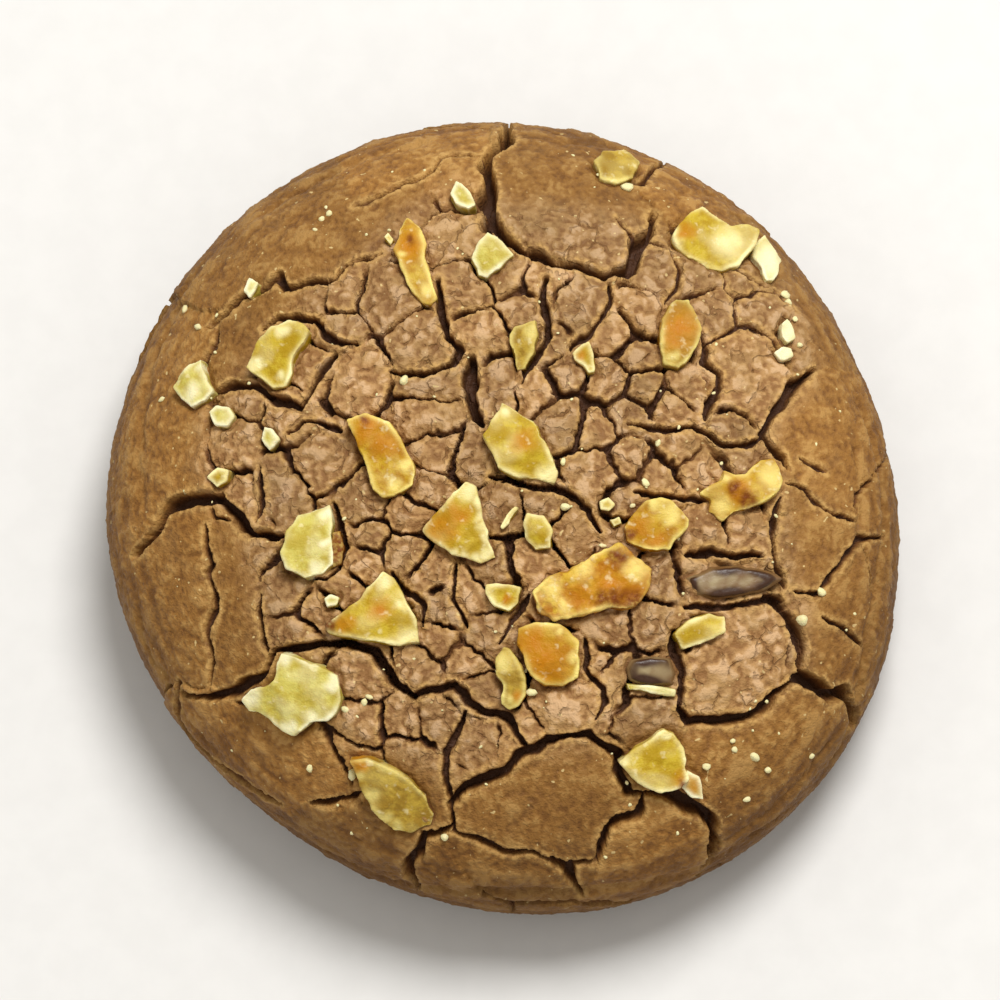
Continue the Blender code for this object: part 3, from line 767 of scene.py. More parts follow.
    def along_route(
        self, places: np.ndarray, stretch: np.ndarray, crack: Crack
    ) -> tuple[np.ndarray, np.ndarray, np.ndarray]:
        """Where places lie along a crack.

        Args:
            places: (x, y) rows on the cookie's plane.
            stretch: How stretched the plane is there.
            crack: The crack or fold.

        Returns:
            The rows of the places near its route, their distance from it, and their share of the way.
        """
        route = self.form.plane(crack.route)
        rows = near_box(places, route, self.route_margin)
        away, along = away_from_path(places[rows], route)
        return rows, away / stretch[rows], along

    def sunk_edges(self, places: np.ndarray, stretch: np.ndarray) -> np.ndarray:
        """How close each place is to the edge of a piece pressed into the crust.

        Args:
            places: (x, y) rows on the cookie's plane.
            stretch: How stretched the plane is there.

        Returns:
            1 on such an edge and 0 well away from it.
        """
        close = np.zeros(len(places))
        for outline in self.sockets:
            rows = near_box(places, outline, self.socket_margin)
            away, _ = away_from_path(places[rows], outline, closed=True)
            close[rows] = np.maximum(close[rows], bell(away / stretch[rows], self.socket_width))
        return close

    def detail(self, points: np.ndarray, angle: np.ndarray, spread: np.ndarray) -> CrustDetail:
        """All that the split crust has.

        Args:
            points: Points on the smooth cookie.
            angle: Each one's angle.
            spread: Each one's spread.

        Returns:
            The crust's detail at each point.
        """
        radius, _ = self.form.radius_height(spread)
        stretch = spread / radius
        smooth_places = np.column_stack((spread * np.cos(angle), spread * np.sin(angle)))
        push = sum(drift(points, length) * amount for amount, length in self.jag)
        places = smooth_places + push * stretch[:, None]
        at_rim = self.at_rim(places, stretch)
        opening = 1 + self.opening_change * unevenness(points, self.opening_length, 7.0)
        opening = np.clip(opening, *self.openings)
        chunks = np.array_split(np.arange(len(points)), math.ceil(len(points) / self.rows_at_once))
        parts = [self.between_plates(places[c], stretch[c], at_rim[c], opening[c]) for c in chunks]
        plates = PlateRelief(*(np.concatenate(values) for values in zip(*parts)))
        main = self.main_cracks(smooth_places + push * self.main_jag * stretch[:, None], stretch, opening)
        crease, shade = self.folds(places, stretch)
        socket = self.sunk_edges(smooth_places + push * self.socket_jag * stretch[:, None], stretch)
        calm = smooth(*self.calm_reach, main.away)
        fade = smooth(*self.fade_heights, points[:, 2])
        grain = self.grain.relief(points, radius, angle, at_rim)
        rise = plates.rise - np.maximum(plates.depth * calm, main.depth) - crease - self.socket_depth * socket
        rise = rise * fade + grain * smooth(*self.grain.fade_heights, points[:, 2])
        crack = np.maximum(plates.crack * calm, main.crack)
        # Painted shadow round each piece pressed into the crust.
        crack = np.maximum(crack, self.socket_painted_shadow * socket * opening) * fade
        # Painted shade in the rim's soft creases.
        crack = np.maximum(crack, self.fold_painted_shade * shade)
        lip = np.maximum(plates.lip * calm, main.lip) * (1 - crack) * fade
        # The high mark: the finish paints shade into the grain's hollows from it.
        return CrustDetail(rise, crack, lip, plates.tone, np.clip(0.5 + grain / self.grain.span, 0, 1), at_rim)


@dataclass(frozen=True)
class Underside:
    """The flat base, a little hollowed and pored as dough is that was baked on a tray."""

    form: CookieForm
    border: float = 1.5
    hollow: float = 0.12
    least: float = 0.02
    wave: float = 0.06
    wave_length: float = 5.0
    grain: Pebbling = Pebbling(1.7, 0.07)
    pore_length: float = 1.1
    pore_span: Spot = (0.38, 0.60)
    pore_depth: float = 0.22

    def relief(self, points: np.ndarray, spread: np.ndarray) -> tuple[np.ndarray, np.ndarray]:
        """The base's hollows.

        Args:
            points: Points on the smooth cookie.
            spread: Each one's spread.

        Returns:
            How far each point is hollowed, and how much of a pore that is, from 0 to 1.
        """
        radius, _ = self.form.radius_height(spread)
        inside = smooth(0.0, self.border, self.form.base_radius - radius) * (spread > self.form.edge_spread)
        pores = inside * smooth(*self.pore_span, unevenness(points, self.pore_length, 3.0))
        waves = self.hollow + self.wave * unevenness(points, self.wave_length) + self.grain.relief(points)
        return inside * np.maximum(waves, self.least) + self.pore_depth * pores, pores


def deselect_all() -> None:
    """Leaves nothing selected, so that the next operator reaches only what it is meant to."""
    if bpy.context.mode != "OBJECT":
        bpy.ops.object.mode_set(mode="OBJECT")
    bpy.ops.object.select_all(action="DESELECT")


def take_up(piece: bpy.types.Object) -> None:
    """Makes one piece the only selected one, and the active one.

    Args:
        piece: The piece.
    """
    deselect_all()
    piece.select_set(True)
    bpy.context.view_layer.objects.active = piece


def mesh_points(mesh: bpy.types.Mesh) -> np.ndarray:
    """A mesh's vertices as (x, y, z) rows.

    Args:
        mesh: The mesh.

    Returns:
        One row for each vertex.
    """
    flat = np.empty(len(mesh.vertices) * 3)
    mesh.vertices.foreach_get("co", flat)
    return flat.reshape(-1, 3)


def mesh_normals(mesh: bpy.types.Mesh) -> np.ndarray:
    """A mesh's vertex normals as rows.

    Args:
        mesh: The mesh.

    Returns:
        One row for each vertex.
    """
    flat = np.empty(len(mesh.vertices) * 3)
    mesh.vertex_normals.foreach_get("vector", flat)
    return flat.reshape(-1, 3)


def marks(mesh: bpy.types.Mesh, name: str) -> np.ndarray:
    """Reads the values that a mesh's vertices were marked with.

    Args:
        mesh: The mesh.
        name: The mark's name.

    Returns:
        One value for each vertex.
    """
    values = np.empty(len(mesh.vertices))
    mesh.attributes[name].data.foreach_get("value", values)
    return values


def move_points(mesh: bpy.types.Mesh, points: np.ndarray) -> None:
    """Puts a mesh's vertices at these points."""
    mesh.vertices.foreach_set("co", points.ravel())
    mesh.update()


def mark(mesh: bpy.types.Mesh, name: str, values: np.ndarray) -> None:
    """Gives each vertex a value that the finishes can read."""
    layer = mesh.attributes.get(name) or mesh.attributes.new(name, "FLOAT", "POINT")
    layer.data.foreach_set("value", np.asarray(values, dtype=np.float32))


def standing_out(mesh: bpy.types.Mesh) -> np.ndarray:
    """How far each vertex stands out from the middle of its neighbours.

    Args:
        mesh: The mesh.

    Returns:
        One distance for each vertex.
    """
    points = mesh_points(mesh)
    ends = np.empty(len(mesh.edges) * 2, dtype=np.int32)
    mesh.edges.foreach_get("vertices", ends)
    ends = ends.reshape(-1, 2)
    total, count = np.zeros_like(points), np.zeros(len(points))
    for here, there in (ends.T, ends.T[::-1]):
        np.add.at(total, here, points[there])
        np.add.at(count, here, 1)
    return ((points - total / count[:, None]) * mesh_normals(mesh)).sum(axis=1)


def apply(piece: bpy.types.Object, kind: str, **settings: object) -> None:
    """Adds a modifier with these settings to a piece and applies it.

    Args:
        piece: The piece.
        kind: The modifier's type.
        settings: Its settings by name.
    """
    take_up(piece)
    modifier = piece.modifiers.new(kind.title(), kind)
    for name, value in settings.items():
        setattr(modifier, name, value)
    bpy.ops.object.modifier_apply(modifier=modifier.name)


def join(pieces: Sequence[bpy.types.Object], name: str) -> bpy.types.Object:
    """Makes one piece of several.

    Args:
        pieces: The pieces, the first of which takes up the others.
        name: The name of the one piece.

    Returns:
        The one piece.
    """
    deselect_all()
    for piece in pieces:
        piece.select_set(True)
    bpy.context.view_layer.objects.active = pieces[0]
    if len(pieces) > 1:
        bpy.ops.object.join()
    pieces[0].name = pieces[0].data.name = name
    return pieces[0]


class NodeBoard:
    """The nodes of one material, laid on its Principled BSDF."""

    def __init__(self, name: str) -> None:
        """Starts a material of this name.

        Args:
            name: The material's name.
        """
        self.material = bpy.data.materials.new(name)
        self.material.use_nodes = True
        self.tree = self.material.node_tree
        self.shader = self.tree.nodes["Principled BSDF"]
        self.place = self.tree.nodes.new("ShaderNodeTexCoord").outputs["Object"]

    def add(self, kind: str, inputs: dict[str | int, object], **settings: object) -> bpy.types.Node:
        """Adds a node with these settings, and sets or links its inputs.

        Args:
            kind: The node's type.
            inputs: What its inputs are set to or linked to, by name or number.
            settings: Its settings by name.

        Returns:
            The node.
        """
        node = self.tree.nodes.new(kind)
        for name, value in settings.items():
            setattr(node, name, value)
        for name, value in inputs.items():
            self.feed(node.inputs[name], value)
        return node

    def feed(self, socket: Socket, value: object) -> None:
        """Links a socket, or sets it to a number or colour.

        Args:
            socket: The socket.
            value: Another node's result, a number, a colour or a vector.
        """
        if isinstance(value, Socket):
            self.tree.links.new(value, socket)
        elif isinstance(value, tuple) and len(value) == 3 and socket.type == "RGBA":
            socket.default_value = (*value, 1)
        else:
            socket.default_value = value

    def marked(self, name: str) -> Socket:
        """The value that the mesh's vertices were marked with."""
        return self.add("ShaderNodeAttribute", {}, attribute_name=name).outputs["Fac"]

    def mottle(self, size: float, detail: float = 3.0, roughness: float = 0.55) -> Socket:
        """Noise with blotches of this many millimetres."""
        inputs = {"Vector": self.place, "Scale": 1 / (size * MM), "Detail": detail, "Roughness": roughness}
        return self.add("ShaderNodeTexNoise", inputs).outputs["Fac"]

    def span(self, value: Socket, low: float, high: float, to: Spot = (0.0, 1.0)) -> Socket:
        """Maps a value's range from low to high on another range, smoothly and without leaving it."""
        inputs = {"Value": value, "From Min": low, "From Max": high, "To Min": to[0], "To Max": to[1]}
        return self.add("ShaderNodeMapRange", inputs, interpolation_type="SMOOTHSTEP").outputs["Result"]

    def blend(self, share: object, first: object, second: object, mode: str = "MIX") -> Socket:
        """Mixes two colours.

        Args:
            share: The share of the second colour.
            first: The first colour.
            second: The second colour.
            mode: How they are mixed.

        Returns:
            The mixed colour.
        """
        node = self.add("ShaderNodeMix", {}, data_type="RGBA", blend_type=mode)
        for socket, value in zip((node.inputs[0], node.inputs[6], node.inputs[7]), (share, first, second)):
            self.feed(socket, value)
        return node.outputs[2]

    def reckon(self, operation: str, first: object, second: object = 0.0) -> Socket:
        """A sum, product or other result of two numbers."""
        return self.add("ShaderNodeMath", {0: first, 1: second}, operation=operation).outputs[0]

    def shine(self, colour: object, roughness: object, bump: object, depth: float) -> bpy.types.Material:
        """Ends the board: the surface's colour and roughness, and a bump this many millimetres deep.

        Args:
            colour: The surface's colour.
            roughness: Its roughness.
            bump: How high its fine grain stands, from 0 to 1.
            depth: The height of 1 in that grain, in millimetres.

        Returns:
            The material.
        """
        inputs = {"Height": bump, "Distance": depth * MM, "Strength": 1.0}
        self.feed(self.shader.inputs["Base Color"], colour)
        self.feed(self.shader.inputs["Roughness"], roughness)
        self.feed(self.shader.inputs["Normal"], self.add("ShaderNodeBump", inputs).outputs["Normal"])
        return self.material


def paint(red: int, green: int, blue: int) -> Colour:
    """A screen colour, 0 to 255, as the linear colour that a shader takes."""
    shares = (red / 255, green / 255, blue / 255)
    return tuple(c / 12.92 if c <= 0.04045 else ((c + 0.055) / 1.055) ** 2.4 for c in shares)


@dataclass(frozen=True)
class CrustFinish:
    """Dry baked crust: dusty pinkish-brown plates in the middle, golden-brown ones at the rim, dark cracks, and
    painted shade in the grain's hollows, the cracks and the foot.
    """

    name: str = "baked_crust"
    middle_high: Colour = paint(194, 157, 115)
    middle: Colour = paint(170, 130, 82)
    # Darker dough, and painted shade where the grain is low.
    middle_low_and_shade: Colour = paint(134, 94, 53)
    rim_high: Colour = paint(172, 129, 70)
    rim: Colour = paint(149, 104, 48)
    # Darker dough, and painted shade where the grain is low.
    rim_low_and_shade: Colour = paint(118, 77, 32)
    grey: Colour = paint(168, 134, 84)
    lip: Colour = paint(204, 162, 96)
    crumb: Colour = paint(104, 64, 30)
    # The deep crack colour: dark crumb, deepened with painted shade.
    crack: Colour = paint(75, 47, 29)
    # Baked browning and painted shade, darkening the sides towards the base.
    foot: Colour = paint(84, 51, 8)
    speck: Colour = paint(222, 196, 136)
    low_and_shade_span: Spot = (0.74, 1.22)
    high_span: Spot = (1.16, 1.52)
    tones: Spot = (0.84, 1.12)
    foot_shade_heights: Spot = (2.0, 17.0)
    foot_brown_and_shade: float = 0.96
    roughnesses: Spot = (0.55, 0.75)
    speck_span: Spot = (0.80, 0.84)
    speck_share: float = 0.7
    wander_size: float = 1.1
    wander_reach: float = 1.6
    hairline_size: float = 2.3
    hairline_span: Spot = (0.01, 0.055)
    hairline_shade: float = 0.42
    hairline_depth: float = 0.9
    specular: float = 0.2
    bump_depth: float = 0.1

    def material(self) -> bpy.types.Material:
        """Makes the material.

        Returns:
            Plates of mottled dough with pale lips and specks, hairlines, a foot darkened by browning and painted
            shade, and cracks darkened by crumb and painted shade.
        """
        board = NodeBoard(self.name)
        blotch, grain, fine = board.mottle(1.5, 2.0), board.mottle(0.5, 2.0), board.mottle(0.18, 1.0)
        at_rim = board.marked("at_rim")
        colour = self.plates(board, at_rim, blotch, grain)
        edge = board.reckon("MULTIPLY", board.marked("lip"), board.span(grain, 0.35, 0.65, (0.15, 0.75)))
        colour = board.blend(edge, colour, self.lip)
        speck = board.span(board.mottle(0.4, 0.0), *self.speck_span, (0.0, self.speck_share))
        colour = board.blend(speck, colour, self.speck)
        hairline = self.hairlines(board, at_rim, blotch)
        colour = board.blend(board.reckon("MULTIPLY", hairline, self.hairline_shade), colour, self.crumb)
        # Painted shade and browning: darker towards the base, the lower the darker.
        level = board.add("ShaderNodeSeparateXYZ", {0: board.place}).outputs["Z"]
        low, high = (height * MM for height in self.foot_shade_heights)
        foot = board.span(level, low, high, (self.foot_brown_and_shade, 0.0))
        foot = board.reckon("MULTIPLY", foot, board.span(blotch, 0.3, 0.7, (1.0, 0.8)))
        colour = board.blend(foot, colour, self.foot)
        # Cracks take the crumb colour, then painted shade that deepens with depth.
        crack = board.marked("crack")
        colour = board.blend(board.span(crack, 0.2, 0.6, (0.0, 0.9)), colour, self.crumb)
        colour = board.blend(board.span(crack, 0.5, 1.0), colour, self.crack)
        board.shader.inputs["Specular IOR Level"].default_value = self.specular
        bump = board.reckon("MULTIPLY", hairline, -self.hairline_depth)
        bump = board.reckon("ADD", board.reckon("ADD", grain, fine), bump)
        return board.shine(colour, board.span(grain, 0.3, 0.7, self.roughnesses), bump, self.bump_depth)

    def plates(self, board: NodeBoard, at_rim: Socket, blotch: Socket, grain: Socket) -> Socket:
        """The plates' colour: lighter where the grain stands high, darker in its hollows (darker dough and painted
        shade), greyed here and there.

        Args:
            board: The material's nodes.
            at_rim: How far at the rim the place is.
            blotch: Noise as wide as a small plate.
            grain: Noise as wide as a grain.

        Returns:
            The colour, lighter or darker by the plate's tone.
        """
        height = board.reckon("ADD", board.marked("high"), board.reckon("MULTIPLY", grain, 0.9))
        height = board.reckon("ADD", height, board.reckon("MULTIPLY", blotch, 0.5))
        # Where the grain is low the colour darkens: darker dough, and painted shade in the hollows.
        low, high = board.span(height, *self.low_and_shade_span), board.span(height, *self.high_span)
        middle = board.blend(high, board.blend(low, self.middle_low_and_shade, self.middle), self.middle_high)
        rim = board.blend(high, board.blend(low, self.rim_low_and_shade, self.rim), self.rim_high)
        greyed = board.span(board.mottle(2.6, 2.0), 0.5, 0.68, (0.0, 0.4))
        greyed = board.reckon("MULTIPLY", greyed, board.span(at_rim, 0.0, 1.0, (1.0, 0.3)))
        colour = board.blend(greyed, board.blend(at_rim, middle, rim), self.grey)
        tone = board.reckon("ADD", board.marked("tone"), board.mottle(7.0, 1.0))
        tone = board.span(tone, 0.4, 1.6, self.tones)
        tone = board.add("ShaderNodeCombineColor", {0: tone, 1: tone, 2: tone}).outputs[0]
        return board.blend(1.0, colour, tone, "MULTIPLY")

    def hairlines(self, board: NodeBoard, at_rim: Socket, patchy: Socket) -> Socket:
        """Fine cracks within the plates, here and there.

        Args:
            board: The material's nodes.
            at_rim: How far at the rim the place is, where they are faint.
            patchy: Noise that they come and go with.

        Returns:
            1 on a line and 0 off it.
        """
        scale, reach = 1 / (self.wander_size * MM), self.wander_reach * MM
        wander = board.add("ShaderNodeTexNoise", {"Vector": board.place, "Scale": scale, "Detail": 2.0})
        wander = board.add("ShaderNodeVectorMath", {0: wander.outputs["Color"], 1: (0.5,) * 3}, operation="SUBTRACT")
        wander = board.add("ShaderNodeVectorMath", {0: wander.outputs[0], 1: (reach,) * 3}, operation="MULTIPLY")
        place = board.add("ShaderNodeVectorMath", {0: board.place, 1: wander.outputs[0]}, operation="ADD").outputs[0]
        cells = {"Vector": place, "Scale": 1 / (self.hairline_size * MM)}
        cells = board.add("ShaderNodeTexVoronoi", cells, feature="DISTANCE_TO_EDGE").outputs["Distance"]
        line = board.span(cells, *self.hairline_span, (1.0, 0.0))
        line = board.reckon("MULTIPLY", line, board.span(patchy, 0.42, 0.56))
        return board.reckon("MULTIPLY", line, board.span(at_rim, 0.0, 1.0, (1.0, 0.15)))


class BitKind(Enum):
    """What is pressed into the crust: walnut from fresh to toasted or stained, or a brown chip."""

    PALE = "pale"
    YELLOW = "yellow"
    GOLDEN = "golden"
    TOASTED = "toasted"
    STAINED = "stained"
    CHIP = "chip"

    @property
    def lumpiness(self) -> float:
        """How uneven such a piece is, as a share of the usual."""
        return {"pale": 0.9, "yellow": 0.9, "golden": 1.1, "toasted": 2.0, "stained": 1.2, "chip": 0.35}[self.value]


@dataclass(frozen=True)
class WalnutFinish:
    """Cut walnut: waxy, mottled, paler at its broken edges and browner where it is toasted, with painted highlights on
    its lumps, edges and patches and painted shade on its steep sides.
    """

    kind: BitKind
    body: Colour
    # Darker colour of the blotches, and the painted shade on the steep sides.
    deep: Colour
    # Pale broken edges, and the colour of painted highlights.
    edge: Colour
    amber: Colour = paint(186, 118, 10)
    skin: Colour = paint(116, 58, 14)
    fleck: Colour = paint(250, 238, 186)
    deep_span: Spot = (0.55, 0.82)
    side_shade_share: float = 0.75
    lump_highlight_share: float = 0.2
    edge_share: float = 0.95
    fleck_span: Spot = (0.58, 0.74)
    fleck_share: float = 0.4
    roughnesses: Spot = (0.38, 0.55)
    specular: float = 0.15
    waxiness: float = 0.08
    glow_reach: tuple[float, float, float] = (1.0, 0.6, 0.25)
    glow_depth: float = 0.5
    bump_depth: float = 0.055

    def material(self) -> bpy.types.Material:
        """Makes the material.

        Returns:
            The material.
        """
        board = NodeBoard(f"walnut_{self.kind.value}")
        blotch, grain, fine = board.mottle(1.5, 4.0), board.mottle(0.4), board.mottle(0.16, 2.0)
        shade = board.reckon("ADD", blotch, board.reckon("MULTIPLY", grain, 0.4))
        colour = board.blend(board.span(shade, *self.deep_span), self.body, self.deep)
        # Painted shade: the steep sides darken towards the deep colour.
        colour = board.blend(board.reckon("MULTIPLY", board.marked("side"), self.side_shade_share), colour, self.deep)
        toast = board.reckon("MULTIPLY", board.marked("toast"), board.span(blotch, 0.35, 0.6, (1.0, 0.7)))
        # Painted highlight on the tops of the broad lumps.
        colour = board.blend(board.reckon("MULTIPLY", board.marked("high"), self.lump_highlight_share), colour, self.edge)
        colour = board.blend(toast, colour, self.amber)
        # Pale broken edges and ridges, partly painted highlight, and the painted highlight patches.
        colour = board.blend(board.reckon("MULTIPLY", board.marked("edge"), self.edge_share), colour, self.edge)
        fleck = board.span(board.mottle(0.8, 2.0), *self.fleck_span, (0.0, self.fleck_share))
        colour = board.blend(fleck, colour, self.fleck)
        skin = board.reckon("MULTIPLY", board.marked("skin"), board.span(grain, 0.3, 0.6, (0.6, 1.0)))
        colour = board.blend(skin, colour, self.skin)
        board.shader.inputs["Specular IOR Level"].default_value = self.specular
        board.shader.inputs["Subsurface Weight"].default_value = self.waxiness
        board.shader.inputs["Subsurface Radius"].default_value = self.glow_reach
        board.shader.inputs["Subsurface Scale"].default_value = self.glow_depth * MM
        roughness = board.span(blotch, 0.3, 0.7, self.roughnesses)
        return board.shine(colour, roughness, board.reckon("ADD", grain, fine), self.bump_depth)


WALNUT_FINISHES = (
    WalnutFinish(BitKind.PALE, paint(205, 191, 94), paint(184, 162, 62), paint(252, 246, 204)),
    WalnutFinish(BitKind.YELLOW, paint(196, 168, 46), paint(172, 138, 22), paint(252, 241, 178)),
    WalnutFinish(BitKind.GOLDEN, paint(190, 151, 34), paint(166, 114, 12), paint(247, 226, 132)),
    WalnutFinish(BitKind.TOASTED, paint(206, 165, 48), paint(166, 102, 14), paint(246, 220, 126)),
    WalnutFinish(BitKind.STAINED, paint(184, 152, 56), paint(150, 116, 36), paint(226, 208, 124)),
)


@dataclass(frozen=True)
class ChipFinish:
    """A brown chip in the crust: satin, with a painted greyish highlight band, and dark at its edges."""

    name: str = "brown_chip"
    # The painted highlight's colour.
    light: Colour = paint(160, 142, 104)
    middle: Colour = paint(114, 82, 46)
    dark: Colour = paint(60, 34, 14)
    edge_span: Spot = (0.1, 0.7)
    roughnesses: Spot = (0.3, 0.5)
    specular: float = 0.3
    coat: float = 0.08
    coat_roughness: float = 0.35
    bump_depth: float = 0.03

    def material(self) -> bpy.types.Material:
        """Makes the material.

        Returns:
            The material.
        """
        board = NodeBoard(self.name)
        blotch, grain = board.mottle(1.4, 2.0), board.mottle(0.3)
        # Painted highlight: the patches lighten a band along the chip's middle.
        painted_highlight = board.reckon("MULTIPLY", board.marked("cream_highlight"), board.span(blotch, 0.3, 0.6, (1.0, 0.6)))
        colour = board.blend(painted_highlight, self.middle, self.light)
        colour = board.blend(board.span(board.marked("edge"), *self.edge_span), colour, self.dark)
        board.shader.inputs["Specular IOR Level"].default_value = self.specular
        board.shader.inputs["Coat Weight"].default_value = self.coat
        board.shader.inputs["Coat Roughness"].default_value = self.coat_roughness
        return board.shine(colour, board.span(grain, 0.3, 0.7, self.roughnesses), grain, self.bump_depth)


@dataclass(frozen=True)
class FloorFinish:
    """A plain pale floor."""

    name: str = "pale_floor"
    light: Colour = paint(226, 224, 220)
    dark: Colour = paint(223, 221, 217)
    roughness: float = 0.7
    bump_depth: float = 0.01

    def material(self) -> bpy.types.Material:
        """Makes the material.

        Returns:
            The material.
        """
        board = NodeBoard(self.name)
        fine = board.mottle(3.0)
        colour = board.blend(board.span(fine, 0.3, 0.7), self.light, self.dark)
        return board.shine(colour, self.roughness, fine, self.bump_depth)


@dataclass(frozen=True)
class Bit:
    """A piece pressed into the crust.

    Its outline is traced in (right, up) places. It stands this far out of the crust, and may have toasted and skinned
    patches and pale patches of painted highlight, each a (right, up, radius).
    """

    kind: BitKind
    stand: float
    outline: tuple[Spot, ...]
    toast: tuple[Patch, ...] = ()
    skin: tuple[Patch, ...] = ()
    cream_highlight: tuple[Patch, ...] = ()


